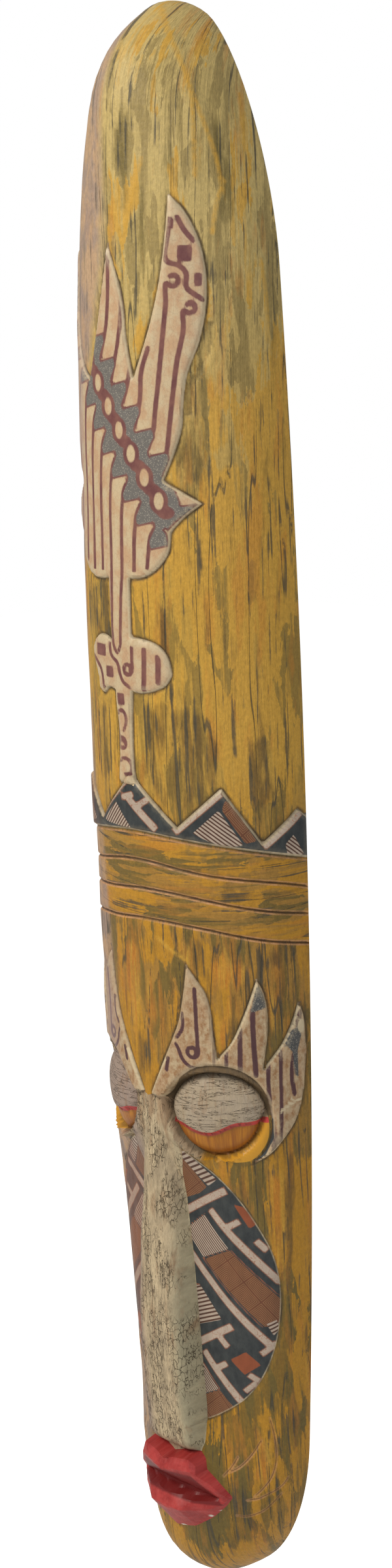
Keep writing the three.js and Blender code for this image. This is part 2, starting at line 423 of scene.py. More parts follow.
class RoundFront:
    """Turns arcs round the half log's front into points."""

    def __init__(self, body: HalfLog) -> None:
        """Works out the arcs of ellipses of every flatness that the log has."""
        self.body = body
        self.ratios = np.linspace(0.7, 2.0, 66)
        angles = np.linspace(0, math.pi / 2, 241)
        middle = (angles[1:] + angles[:-1]) / 2
        speed = np.hypot(np.cos(middle), self.ratios[:, None] * np.sin(middle))
        arcs = np.cumsum(speed * np.diff(angles), axis=1)
        arcs = np.hstack([np.zeros((len(self.ratios), 1)), arcs])
        self.full = arcs[:, -1]
        self.shares = np.linspace(0, 1, 161)
        self.angles = np.array([np.interp(self.shares, a / a[-1], angles) for a in arcs])

    def quarter(self, drop: Array) -> Array:
        """The arc from the midline to the back edge."""
        width = self.body.half_width(drop)
        return width * np.interp(self.body.depth(drop) / width, self.ratios, self.full)

    def angle(self, arc: Array, drop: Array) -> Array:
        """The angle round the front at an arc.

        Args:
            arc: the arcs from the midline.
            drop: the drops from the crown.

        Returns:
            The angles, 0 on the midline and a quarter turn at the back edge.
        """
        ratio = self.body.depth(drop) / self.body.half_width(drop)
        share = np.clip(np.abs(arc) / self.quarter(drop), 0, 1)
        i = np.clip((ratio - self.ratios[0]) / (self.ratios[1] - self.ratios[0]), 0, 64.999)
        j = share * (len(self.shares) - 1)
        row, column = i.astype(int), np.minimum(j.astype(int), len(self.shares) - 2)
        ki, kj = i - row, j - column
        table = self.angles
        upper = table[row, column] * (1 - kj) + table[row, column + 1] * kj
        lower = table[row + 1, column] * (1 - kj) + table[row + 1, column + 1] * kj
        return np.sign(arc) * (upper * (1 - ki) + lower * ki)

    def point(self, places: Places, lift: Array) -> Array:
        """Points of the front, moved out of the plain surface.

        Args:
            places: where they are.
            lift: how far each is moved out along the normal.

        Returns:
            An array of x, y and z in millimetres, in the row frame.
        """
        angle = self.angle(places.arc, places.drop)
        width, depth = self.body.half_width(places.drop), self.body.depth(places.drop)
        normal = np.stack([depth * np.sin(angle), -width * np.cos(angle)], axis=-1)
        normal /= np.linalg.norm(normal, axis=-1, keepdims=True)
        x = width * np.sin(angle) + lift * normal[..., 0]
        y = self.body.back_line(places.drop) - depth * np.cos(angle) + lift * normal[..., 1]
        return np.stack([x, y, self.body.up(places.drop)], axis=-1)


@dataclass(frozen=True)
class Relief:
    """The edge of a raised or sunk area."""

    height: float = 1.6
    bevel: float = 1.7
    groove: float = 0.7
    groove_width: float = 2.6

    def lift(self, inside: Array) -> Array:
        """How far the surface is moved out, for a distance inside the outline."""
        raised = self.height * ease(inside, 0.0, self.bevel)
        cut = self.groove * (1 - ease(np.abs(inside), 0.0, self.groove_width))
        return raised - cut


@dataclass(frozen=True)
class Ornament:
    """The leaf ornament over the forehead, with its stem and crossbar."""

    relief: Relief = Relief()
    undercut: Patch = Patch(
        ((59, 182), (53, 204), (47, 219), (46, 236), (50, 236), (53, 218), (62, 200), (64, 182))
    )
    undercut_edge: Point = (-1.0, 1.6)
    chain_start: Point = (-14.0, 215.5)
    chain_step: Point = (8.6, 13.7)
    chain_half: float = 9.0
    links: tuple[int, int] = (-6, 6)
    paired_to: int = 5
    oval: Point = (3.0, 5.0)
    ring: Point = (5.8, 7.4)
    knot: Point = (5.4, 3.6)
    field: Run = ((3.6, -11.6), (14.6, -13.8), (15.3, -9.5), (11.6, -2.7), (10.4, 0.6), (5.1, -4.7))
    corner: Run = (
        (32, 274), (38, 277.5), (41, 284), (40, 288), (52, 286.5), (38, 296), (34, 300), (29, 296),
    )
    edge: float = 1.1
    line: float = 3.0
    thin_line: float = 2.6
    # Its outline, from the tip of the middle leaf round by the right
    runs: tuple[Run, ...] = chained(
        ((4, 156), (8, 172), (9.5, 190), (14, 213)),
        ((21, 196), (27, 178), (32.5, 155), (36, 130), (37.5, 111)),
        (
            (47, 121), (55, 136), (59, 152), (59.5, 172), (55, 194),
            (47, 215), (45, 229), (44, 242), (39, 257), (32, 272.5),
        ),
        ((43, 279), (55, 286)),
        ((44, 294), (36, 302)),
        ((34, 314), (27, 323), (16, 329), (6, 330)),
        ((6, 364),),
        ((14, 365), (24, 368), (30, 374), (33.5, 386)),
        ((28.5, 393), (22, 396), (12, 398), (4.5, 397.5)),
        ((3, 425), (4, 454)),
        ((-10, 454),),
        ((-9, 425), (-10.5, 397.5)),
        ((-17, 396.5), (-23, 400.5), (-28, 399)),
        ((-29, 391), (-33, 382)),
        ((-34, 372), (-27, 365), (-18, 364.5), (-12, 367)),
        ((-12, 330),),
        ((-22, 331), (-32, 329), (-40, 321), (-44, 306)),
        ((-54, 297), (-66, 287)),
        ((-54, 281), (-44, 273)),
        ((-56, 258), (-64, 240), (-70, 215), (-73, 188), (-70, 160), (-60, 132)),
        ((-58, 155), (-52, 180), (-42, 198), (-33, 208), (-25, 213)),
        ((-19, 196), (-14, 178), (-9, 160), (-3, 136)),
    )
    # The long dark lines that run into the chain, and the curls
    long_lines: tuple[Run, ...] = (
        coil((40.6, 159.5), 3.7, 150, -0.78)[::-1]
        + ((36.2, 172), (34, 190), (31, 215), (28.6, 232), (27.4, 242), (23.5, 254)),
        coil((50.0, 175), 3.5, 150, -0.78)[::-1]
        + ((46, 187), (42, 205), (39, 225), (36.6, 243), (35, 255), (32, 268)),
        ((25, 197), (20.6, 210), (19.2, 226), (15, 241)),
        ((13, 207), (11, 216), (6.5, 228)),
        ((7.5, 160), (7, 178), (4, 194), (1.5, 203), (-2, 214)),
        ((-1.5, 142), (-2.5, 165), (-5.2, 184), (-10.5, 201)),
        ((38.2, 131), (38.4, 150), (43, 151), (47.6, 155), (48.6, 165), (52, 167.5), (57, 171)),
        ((43, 125), (47, 132), (52, 138)),
    )
    # The blocks beside them
    blocks: tuple[Shape, ...] = (
        bar((39.4, 124.5), (38.8, 131.5), 4.2),
        bar((47.5, 140.5), (47.0, 149.5), 8.4),
        bar((54.8, 156), (54.4, 163.5), 4.6),
    )
    # The lines and the broad marks on the stem, the crossbar and the thin stem under it
    mark_lines: tuple[Run, ...] = (
        (
            (-7.3, 326), (-8.3, 345), (-8.6, 364), (-7.4, 371.4), (-5.0, 374),
            (-2.4, 371), (-1.2, 362), (-0.2, 345), (1.8, 326),
        ),
        ((-12.5, 368), (-10.8, 376.5), (-5.5, 380), (-3.8, 386), (-1.5, 391), (4, 394.5)),
        ((7.2, 370), (7, 380)) + coil((3.2, 383.5), 3.7, 10, 1.1),
        ((15.8, 371), (15.2, 384), (14, 397)),
        ((16.6, 371), (16.0, 384), (14.8, 397)),
        ((24.6, 375), (24.2, 391)),
        ((25.6, 376), (25.2, 391)),
        ((-32, 378), (-27, 381.5), (-23, 386), (-21.5, 392), (-21, 397)),
        ((-7.4, 411), (-4.6, 408.6), (-1.5, 410.5), (-0.6, 416), (-3, 421)),
        ((-8.2, 418), (-7.4, 424)) + coil((-4.6, 429), 3.6, 220, 1.3),
        ((-7.5, 440), (-2, 438), (2.4, 441), (1.6, 447), (-3, 448)),
    )
    mark_blocks: tuple[Shape, ...] = (
        bar((-27, 373.5), (-17, 373.8), 7.4),
        bar((-17.4, 386.3), (-9.8, 386.3), 7.0),
        bar((-7.4, 402), (-1.0, 402), 7.0),
    )

    def outline(self) -> Outline:
        """The ornament's outline."""
        return Outline(self.runs, Zone.BATIK)

    def link(self, k: float) -> Point:
        """The middle of a link of the chain."""
        (x, y), (dx, dy) = self.chain_start, self.chain_step
        return x + k * dx, y + k * dy

    def fields(self, grow: float) -> list[Shape]:
        """The dotted fields on both sides of the chain, and the dark ground that joins them.

        Args:
            grow: how far they reach past their own edges.

        Returns:
            The shapes.
        """
        shapes: list[Shape] = []
        for k in range(self.links[0], self.links[1] + 1):
            x, y = self.link(k)
            for turn in (1, -1) if k < self.paired_to else (-1,):
                points = tuple((x + turn * a, y + turn * b) for a, b in self.field)
                shapes.append(Patch(points, grow))
        ground = bar(self.link(self.links[0]), self.link(self.links[1] - 0.1), 2 * self.chain_half)
        return shapes + [Patch(self.corner, grow), Patch(ground.points, grow)]

    def chain(self) -> list[Shape]:
        """The dark rings and knots of the chain."""
        rings = [Oval(self.link(k), self.ring) for k in range(*self.links)]
        return rings + [Oval(self.link(k + 0.5), self.knot) for k in range(*self.links)]

    def holes(self) -> list[Shape]:
        """The pale ovals in the chain."""
        return [Oval(self.link(k), self.oval) for k in range(*self.links)]

    def stripes(self) -> list[Shape]:
        """The long dark lines that run into the chain, and the curls and blocks beside them."""
        down: list[Run] = []
        ends = {0: 320, 1: 326, 2: 328, 3: 327, 4: 327, 5: 328, 6: 323}
        for k, end in ends.items():
            x, y = self.link(k)
            foot = (x - 16.6 - (end - y) * 0.035, end)
            down.append(((x - 10.8, y + 0.5), (x - 14.6, y + 7), (x - 16.2, y + 16), foot))
        for k in range(self.links[0], 0):
            x, y = self.link(k)
            down.append(((x - 10.8, y + 0.5), (x - 16, y + 10), (x - 20, 325)))
            if k < -1:
                down.append(((x + 10.8, y - 0.5), (x + 16, y - 10), (x + 17, y - 90)))
        long_lines = [Stroke(line, self.line) for line in self.long_lines]
        return [*long_lines, *(Stroke(line, self.thin_line) for line in down), *self.blocks]

    def crossbar_marks(self) -> list[Shape]:
        """The marks on the stem and the crossbar."""
        return [*(Stroke(line, self.thin_line) for line in self.mark_lines), *self.mark_blocks]


@dataclass(frozen=True)
class BorderLine:
    """How the lines across the forehead sink towards the sides."""

    arc: float = 115.0
    sink: float = 20.0
    power: float = 1.5

    def drop(self, middle: float, arc: Array) -> Array:
        """The drop of a line at an arc, from its drop on the midline."""
        return middle + self.sink * (np.abs(arc) / self.arc) ** self.power


@dataclass(frozen=True)
class Panel:
    """A panel of fine stripes: its shape, the direction across the stripes and their spacing."""

    patch: Patch
    across: Point
    spacing: float


@dataclass(frozen=True)
class Crown:
    """The zigzag crown that stands on the first line across the forehead."""

    border: BorderLine = BorderLine()
    foot: float = 482.5
    foot_points: int = 13
    peaks: Run = (
        (0.0, 447.0), (32.0, 478.0), (60.0, 454.0), (84.0, 489.0), (109.0, 470.5), (118.0, 478.0),
    )
    relief: Relief = Relief()
    # The pale strips and bars
    strips: tuple[Shape, ...] = (
        bar((31, 480.5), (59.5, 456.5), 4.6),
        bar((84, 491), (110, 473), 4.4),
        bar((-32, 478), (0, 449), 3.4),
        bar((-84, 489), (-60, 456), 3.4),
        bar((-2, 461.5), (18.5, 480), 4.8),
        bar((-7, 462.5), (3, 459.5), 3.6),
        bar((4, 467.5), (14, 461.5), 3.6),
        bar((68, 463), (77, 476), 2.4),
    )
    # The striped panels
    panels: tuple[Panel, ...] = (
        Panel(Patch(((-28, 480), (-13, 466), (0, 481))), (0.75, 0.66), 1.9),
        Panel(Patch(((42, 481), (58, 467), (72, 489), (60, 490))), (0.62, -0.78), 2.0),
        Panel(Patch(((98, 491), (104, 486), (112, 500), (100, 500))), (0.62, -0.78), 2.0),
        Panel(Patch(((-66, 488), (-56, 470), (-42, 482))), (0.75, 0.66), 2.0),
    )
    # The brown patterned strips
    mazes: tuple[Shape, ...] = (
        Patch(((62, 461), (66, 464), (80, 487), (73, 488), (60, 467))),
        Patch(((-78, 487), (-62, 464), (-58, 468), (-70, 489))),
    )

    def outline(self) -> Outline:
        """The zigzag and the foot line under it."""
        right = straight(self.peaks)
        end = self.peaks[-1][0]
        arcs = np.linspace(end, -end, self.foot_points)
        foot = tuple((float(a), float(self.border.drop(self.foot, a))) for a in arcs)
        down = ((self.peaks[-1], foot[0]), foot, (foot[-1], mirrored(self.peaks[-1:])[0]))
        return Outline(reflected(right) + right + down, Zone.WOVEN)


@dataclass(frozen=True)
class Cuts:
    """Lines cut in the face, or raised on it where the depth is negative."""

    paths: tuple[Run, ...]
    depth: float
    half_width: float

    def lift(self, places: Places) -> Array:
        """How far the surface is moved out."""
        return -self.depth * (1 - ease(self.distance(places), 0.0, self.half_width))

    def distance(self, places: Places) -> Array:
        """Distance from the nearest cut."""
        nearest = np.full(places.arc.shape, REACH)
        for path in self.paths:
            nearest = np.minimum(nearest, places.gap(curve_through(path))[0])
        return nearest


def forehead_lines() -> Cuts:
    """The three lines across the forehead, which waver and sink towards the sides."""
    border = BorderLine()
    waver, wave = 0.8, 16
    arcs = np.linspace(-118, 118, 31)
    paths = []
    for middle in (501.0, 518.0, 536.5):
        drops = border.drop(middle, arcs) + waver * np.sin(arcs / wave + middle)
        paths.append(tuple(zip(arcs.tolist(), drops.tolist())))
    return Cuts(tuple(paths), 1.3, 1.8)


def chin_cuts() -> Cuts:
    """The curved cuts beside the mouth, on both sides."""
    right: tuple[Run, ...] = (
        ((63.3, 883), (58, 890.5), (52, 897), (46.4, 901.6), (40.5, 904.5)),
        ((46.8, 894), (43, 900), (36.5, 907.5)),
        ((69.8, 867.7), (71.6, 877), (72.6, 888), (71.8, 899), (67.9, 909.8), (62, 917), (55.5, 922.5)),
        ((80, 912.5), (76, 917), (71.5, 919.8), (65, 922.2), (57.5, 924.6), (50.4, 925)),
        ((74.7, 923.4), (69.5, 928.3), (62, 933.9), (55.9, 936.3), (48.4, 937.4), (42.5, 936.6)),
    )
    return Cuts(right + tuple(mirrored(path) for path in right), 0.7, 1.3)


@dataclass(frozen=True)
class BrowRays:
    """The leaf-shaped rays over each eye, laid out on the +X side."""

    relief: Relief = Relief(1.5, 1.6, 0.6, 2.4)
    # The dotted grey tips
    dotted: tuple[Shape, ...] = (
        Patch(((71.4, 593.5), (73.4, 586), (76.4, 575), (80.4, 583), (81.6, 590.5), (77.9, 592))),
        Patch((
            (91, 618.5), (97, 609.5), (101.6, 606), (105, 612), (101.5, 622),
            (101.5, 640), (98.5, 637), (98, 623), (93.3, 617),
        )),
    )
    # The pale strokes on the bevels, painted highlight where the bevels catch the light, and the pale barbs
    pale: tuple[Shape, ...] = (
        Stroke(((50.6, 622), (58.5, 613.2), (67, 597), (75.4, 576)), 2.2),
        Stroke(((79, 629.6), (92.4, 614.4), (99, 604), (104, 593.5)), 2.4),
        Stroke(((88.7, 658), (92, 656), (97, 650.6)), 1.4),
        Stroke(((87, 660.4), (96, 655.6), (104.4, 653.5)), 1.8),
        Stroke(((3.5, 650), (12.4, 632.4), (16.3, 625.3)), 2.0),
        Stroke(((78, 688), (89.4, 678), (99, 668.3), (104.4, 656.6)), 1.8),
        Oval((105, 607), (3.0, 4.6)),
    )
    # The dark gap between the eye and the rays: slate paint, darkened as painted shade in the deep gap
    slate: tuple[Shape, ...] = (
        Patch(((78.5, 658), (83, 664), (82.5, 676), (77, 686), (69, 692.5), (75, 684), (79, 674))),
    )
    # Their outline, from its inner end round by the tips
    runs: tuple[Run, ...] = chained(
        ((12, 631), (20.8, 612.5), (25.8, 601), (30.3, 582), (33.4, 563.5)),
        ((40.4, 573.5), (45, 581), (47.8, 592), (48.8, 608), (50.3, 623)),
        ((58.5, 613.5), (67, 597), (76.4, 573.5)),
        ((79.6, 579), (82.2, 589), (82.4, 605), (78.6, 630.5)),
        ((92, 615), (99, 604), (105, 590.5)),
        (
            (109, 603), (110, 620), (108, 642), (104.5, 657),
            (99, 668.5), (89.5, 678.5), (78, 688), (68, 692.5),
        ),
        (
            (77, 684), (81.5, 674), (82, 660), (79.5, 648), (71, 636), (60, 629.5),
            (48, 627.5), (36, 629.5), (27, 635), (20, 643), (14, 650), (9, 653),
        ),
        ((2.5, 650.5),),
    )
    # The dark lines and their widths
    dark_lines: tuple[tuple[Run, float], ...] = (
        (
            ((38.6, 578), (38.7, 592), (38.7, 607), (38.9, 617)) + coil((35.2, 618.5), 3.8, 0, 1.15),
            2.6,
        ),
        (((29.8, 594), (29.4, 604), (25.4, 610)), 2.4),
        (((24.6, 614), (26.4, 618), (28, 623), (34, 628.6), (40, 630)), 2.4),
        (((48.6, 598), (48.8, 612), (48.0, 628)), 1.6),
        (((56.0, 617.5), (55.4, 631)), 2.4),
        (((64.8, 603), (64.2, 618), (63.6, 632)), 3.0),
        (((72.8, 592), (72.6, 606), (73.2, 634)), 3.2),
        (((81.2, 626), (80.6, 640), (81.4, 658), (82.0, 686)), 2.8),
        (((89.6, 619), (89.2, 632), (88.8, 650), (86.4, 680)), 2.8),
        (((98.2, 624), (96.4, 636), (97.8, 650)), 3.2),
        (((104, 598), (102.2, 606)), 4.0),
        (((18.5, 624), (17.0, 632)), 2.6),
    )

    def outline(self) -> Outline:
        """The rays' outline."""
        return Outline(self.runs, Zone.BATIK)

    def lines(self) -> list[Shape]:
        """The dark lines on the rays."""
        return [Stroke(points, width) for points, width in self.dark_lines]


@dataclass(frozen=True)
class Eye:
    """One half-closed eye, a ball in a sunk socket."""

    arc: float = 47.0
    at: float = 661.0
    half: Point = (33.0, 26.5)
    lower_arc: float = 45.8
    lower_half: float = 29.8
    socket: float = 9.0
    outer_socket: float = 5.0
    rim: float = 1.13
    upper: float = 11.0
    lower: float = 8.4
    arch: tuple[float, float, int] = (171.0, 363.0, 17)
    flattened: float = 0.25
    lid_line: Run = (
        (14, 665.5), (17.5, 666), (25, 666.4), (32, 669), (40, 670.6), (46, 669.8),
        (52, 666.9), (58.5, 664.1), (67, 663.8), (73, 663.5), (80, 662.6),
    )
    underside: Run = (
        (80, 662.6), (80.2, 669), (79, 676.5), (74.5, 684), (68.5, 689.5), (60, 691),
        (50, 689.8), (40, 687.6), (32.5, 684.8), (25, 679.8), (18.5, 672.5), (14, 665.5),
    )

    def radius(self, places: Places) -> Array:
        """Distance from the middle of the ball, 1 at its edge."""
        folded = places.folded()
        down = folded.drop - self.at
        low = ease(down, -7.0, 7.0)
        middle = self.arc + (self.lower_arc - self.arc) * low
        half = self.half[0] + (self.lower_half - self.half[0]) * low
        return np.hypot((folded.arc - middle) / half, down / self.half[1])

    def upper_lid(self) -> Outline:
        """The upper lid's outline on the +X side."""
        start, end, count = self.arch
        angles = np.linspace(math.radians(start), math.radians(end), count)
        half, tall = self.half
        arch = [(self.arc + half * math.cos(a), self.at + tall * math.sin(a)) for a in angles]
        arch[0], arch[-1] = self.lid_line[0], self.lid_line[-1]
        return Outline((tuple(arch), self.lid_line[::-1]), Zone.CRACKED)

    def lower_lid(self) -> Outline:
        """The lower lid's outline on the +X side, out to the bright rim of its socket."""
        return Outline((self.lid_line, self.underside), Zone.LID)

    def below_line(self, places: Places) -> Array:
        """Signed distance under the line between the lids."""
        distance, side = places.folded().gap(curve_through(self.lid_line), 60.0)
        return distance * side

    def lift(self, places: Places) -> Array:
        """How far the socket sinks and the ball rises in it."""
        radius = self.radius(places)
        outwards = ease(np.abs(places.arc), self.arc, self.arc + self.half[0])
        depth = self.socket + (self.outer_socket - self.socket) * outwards
        sunk = -depth * (1 - ease(radius, 1.0, self.rim))
        ball = np.sqrt(np.clip(1 - radius**2, 0, 1))
        ball = ball - self.flattened * outwards * np.clip(1 - radius, 0, 1)
        under = ease(self.below_line(places), -0.2, 1.8)
        return sunk + ball * (self.upper * (1 - under) + self.lower * under)


@dataclass(frozen=True)
class Cheek:
    """The cheeks, cut in beside the nose, with a patterned leaf on each."""

    depth: float = 10.0
    inner: float = 24.0
    outer: float = 84.0
    top: Point = (668.0, 722.0)
    bottom: Point = (858.0, 915.0)
    relief: Relief = Relief(-0.5, 1.2, 0.9, 2.2)
    lean: Point = (0.5, -0.22)
    # The leaf's edge on the +X side
    leaf: Run = (
        (6, 676), (18, 683), (30, 690.5), (40, 698), (51, 708), (61, 720), (70, 735), (77, 750),
        (81, 765), (82.5, 780), (81, 798), (77.5, 815), (72, 830), (64, 844), (53, 856), (40, 865),
        (26, 872), (6, 876),
    )
    # The pale bars and their short arms
    bars: tuple[Shape, ...] = (
        bar((41.5, 724), (83, 775), 4.4),
        bar((51, 735.5), (60, 730.5), 4.0),
        bar((20, 728.5), (52.5, 710), 5.0),
        bar((24, 755), (76, 819), 4.4),
        bar((68, 822), (78, 815), 4.0),
        bar((20, 820.5), (51.5, 803), 4.8),
        bar((41, 809), (48, 817.5), 4.0),
        bar((30, 822.5), (55, 856.5), 4.6),
        bar((37, 834.5), (46.5, 829), 4.0),
        bar((69, 744), (75, 751), 4.0),
        bar((57, 848), (64, 842), 3.6),
        bar((60, 836), (66, 841), 3.6),
    )
    # The striped panels
    panels: tuple[Panel, ...] = (
        Panel(Patch(((21, 740), (37, 728), (52.5, 749.5), (34, 757.5))), (0.79, -0.61), 1.45),
        Panel(Patch(((20, 779), (30, 777), (45, 799), (20, 806.5))), (0.3, 0.95), 2.6),
        Panel(Patch(((20, 828), (27, 829), (39.5, 848.5), (20, 856))), (0.79, -0.61), 1.45),
        Panel(Patch(((72, 801), (79, 799), (80, 806), (76, 810))), (0.3, 0.95), 2.6),
        Panel(Patch(((16, 684), (24, 684), (47, 703), (41, 708))), (0.45, 0.89), 3.3),
    )
    # The brown blocks of nested lines
    mazes: tuple[Shape, ...] = (
        Patch(((35, 758.5), (53, 750.5), (84, 788), (80, 802), (71, 803))),
        Patch(((10, 688), (22, 688), (40, 709), (34, 714), (14, 722))),
        Patch(((20, 857), (40, 849), (54, 866), (30, 876))),
    )
    # The plain brown blocks
    blocks: tuple[Shape, ...] = (
        Patch(((49, 826), (59, 820), (67.5, 829.5), (57.5, 836))),
        Patch(((57, 719), (63, 721), (70, 733), (65.5, 735.5))),
    )
    # The thin lines between panels
    threads: tuple[Shape, ...] = (
        Stroke(((21, 739.5), (37, 727.5)), 1.0),
        Stroke(((33.5, 758), (52.5, 750)), 0.9),
        Stroke(((53.5, 750), (82, 784)), 0.8),
        Stroke(((34, 758.5), (70, 803.5)), 0.8),
        Stroke(((20, 778), (30, 776.5)), 1.0),
        Stroke(((20, 857.5), (40, 848.5)), 0.9),
        Stroke(((26, 827.5), (40, 848)), 0.8),
    )

    def lift(self, places: Places) -> Array:
        """How far the cheeks are cut in."""
        down = ease(places.drop, *self.top) * (1 - ease(places.drop, *self.bottom))
        return -self.depth * down * (1 - ease(np.abs(places.arc), self.inner, self.outer))

    def drawn(self, places: Places) -> Places:
        """Where the pattern lies, which leans outwards as the cheek sinks."""
        folded = places.folded()
        sunk = -self.lift(folded)
        return folded.shifted(self.lean[0] * sunk, self.lean[1] * sunk)

    def outline(self) -> Outline:
        """The leaf's outline on the +X side; its inner side is under the nose."""
        return Outline((self.leaf, (self.leaf[-1], self.leaf[0])), Zone.WOVEN)


@dataclass(frozen=True)
class Nose:
    """The long straight nose."""

    stations: tuple[tuple[float, float, float], ...] = (
        (655, 8.0, -1.0),
        (700, 13.0, 2.5),
        (750, 17.0, 6.0),
        (800, 18.5, 8.5),
        (850, 19.5, 7.5),
        (895, 20.0, 5.0),
    )
    sink: float = 16.0
    round_end: float = 13.0
    fullness: Point = (2.5, 5.0)
    fuller: Point = (720.0, 850.0)
    tip_width: Point = (0.7, 0.3)
    tip_rise: Point = (0.3, 0.7)
    root: Point = (0.75, 0.25)
    side: Run = (
        (13, 651), (15, 658), (15.5, 667), (17.5, 676), (21.5, 684), (21, 692), (18.5, 703),
        (18.8, 725), (20.7, 750), (22.5, 800), (23.6, 850), (23.9, 880), (23, 888.5), (20.4, 893.5),
    )
    brow: Run = ((-13, 651), (-6, 649.5), (0, 652), (6, 649.5), (13, 651))
    foot: Run = ((20.4, 893.5), (13, 896.5), (0, 898), (-13, 896.5), (-20.4, 893.5))

    def sizes(self, drop: Array) -> tuple[Array, Array]:
        """The nose's half width and how proud it stands at a drop."""
        at, half, proud = np.array(self.stations).T
        return np.interp(drop, at, half), np.interp(drop, at, proud)

    def outline(self) -> Outline:
        """The nose's foot and the skin beside it up to the eyes and the brows."""
        runs = (self.brow, self.side, self.foot, mirrored(self.side)[::-1])
        return Outline(runs, Zone.CRACKED)

    def front(self, x: Array, drop: Array, depth: Array) -> Array:
        """Where the nose's surface is.

        Args:
            x: how far each point is from the midline.
            drop: its drop.
            depth: how deep the plain log is there.

        Returns:
            Its y, or 0 where there is no nose.
        """
        half, proud = self.sizes(drop)
        top, bottom = self.stations[0][0], self.stations[-1][0]
        left = np.clip((bottom - drop) / self.round_end, 0, 1)
        end = np.sqrt(np.clip(1 - (1 - left) ** 2, 0, 1))
        narrow = self.tip_width[0] + self.tip_width[1] * end
        across = np.clip(np.abs(x) / np.maximum(half * narrow, 1e-6), 0, 1)
        full = np.interp(drop, self.fuller, self.fullness)
        out = (1 - across**full) ** (1 / full)
        rise = (self.sink + proud) * (self.tip_rise[0] + self.tip_rise[1] * end)
        shown = (drop > top) & (drop < bottom) & (across < 1)
        start = self.root[0] + self.root[1] * ease(drop, top - 4, top + 12)
        return np.where(shown, self.sink - depth - rise * out * start, 0.0)


@dataclass(frozen=True)
class Mouth:
    """The mouth, two blunt wedges with flat facets."""

    upper: tuple[Point3, ...] = (
        (41, -46, 921.5), (35, -50, 924), (31, -57, 915.5), (21.5, -66, 902.5), (11, -70, 902),
        (0, -71.3, 905.3), (19.5, -65, 894.5), (25, -51, 899), (8, -66, 894.5), (0, -65, 897),
        (0, -54, 921), (20, -52, 922),
    )
    lower: tuple[Point3, ...] = (
        (40, -46, 924), (35, -49, 926.5), (20, -62, 924.5), (0, -66, 922), (12, -69, 931),
        (0, -69.5, 932), (28, -57, 930), (0, -58, 950), (14, -56, 946), (28, -50, 937),
    )
    # The foot of the upper lip and of the lower one, on the +X side
    rim: Run = (
        (0, 897.5), (8, 894.5), (21, 893), (24.5, 897), (25.5, 904), (31.5, 909.8), (41.5, 922.5),
    )
    under: Run = ((41.5, 922.5), (37, 929), (28, 938), (14, 947.5), (0, 951))
    behind: float = -30.0
    wall: float = 1.5
    level: float = 923.0
    half: Point = (41.0, 27.0)
    narrower: float = 0.9
    lowered: float = 92.5
    # The chips along its edges, where the white ground shows
    chips: tuple[Shape, ...] = (
        Oval((26.5, 937), (1.5, 1.2)),
        Oval((5.0, 949.5), (2.2, 1.3)),
        Oval((33, 933), (1.1, 0.8)),
    )

    def brim(self) -> Array:
        """The front edge of the lips' sides, a little within their foot."""
        x, drop = self.outline().polygon().T
        across, down = (1 - self.wall / half for half in self.half)
        return np.stack([x * across, self.level + (drop - self.level) * down], -1)

    def outline(self) -> Outline:
        """The mouth's foot on the +X and the -X side."""
        right = straight(self.rim) + straight(self.under)
        return Outline(right + reflected(right), Zone.LIP)

    def facets(self, corners: tuple[Point3, ...]) -> list[Array]:
        """The planes of one lip's front.

        Args:
            corners: the lip's corners on the +X side, as x, y and drop.

        Returns:
            For each facet, the factors of x, drop and 1 that give its y.
        """
        hull = bmesh.new()
        for x, y, drop in corners:
            for side in {x, -x}:
                hull.verts.new((side, y, drop))
                behind = (side * self.narrower, self.behind, self.narrower * drop + self.lowered)
                hull.verts.new(behind)
        bmesh.ops.convex_hull(hull, input=list(hull.verts))
        planes = []
        for face in hull.faces:
            face.normal_update()
            n, at = face.normal, face.verts[0].co
            if n.y < -0.05:
                planes.append(np.array([-n.x / n.y, -n.z / n.y, at.dot(n) / n.y]))
        hull.free()
        return planes

    def front(self, x: Array, drop: Array) -> Array:
        """Where the lips' surface is.

        Args:
            x: how far each point is from the midline.
            drop: its drop.

        Returns:
            Its y, behind the face where there is no mouth.
        """
        result = np.full(x.shape, 0.0)
        for corners in (self.upper, self.lower):
            planes = self.facets(corners)
            lip = np.max([p[0] * x + p[1] * drop + p[2] for p in planes], axis=0)
            result = np.minimum(result, lip)
        return result


def worn_ridges() -> Cuts:
    """The low ridges that the adze left, with the paint rubbed bright along them."""
    paths: tuple[Run, ...] = (
        ((8, 6), (26, 22), (40, 38), (50, 56), (58, 74), (66, 96), (69, 112)),
        ((50, 56), (52, 80), (53, 104)),
        ((22, 92), (16, 112), (12, 128)),
        ((63, 134), (66, 116), (70, 106)),
        ((-1, 128), (0, 142), (7, 156)),
        ((93, 150), (96, 170), (97, 196)),
        ((15, 548), (26, 556), (34, 560)),
    )
    return Cuts(paths, -0.7, 5.0)


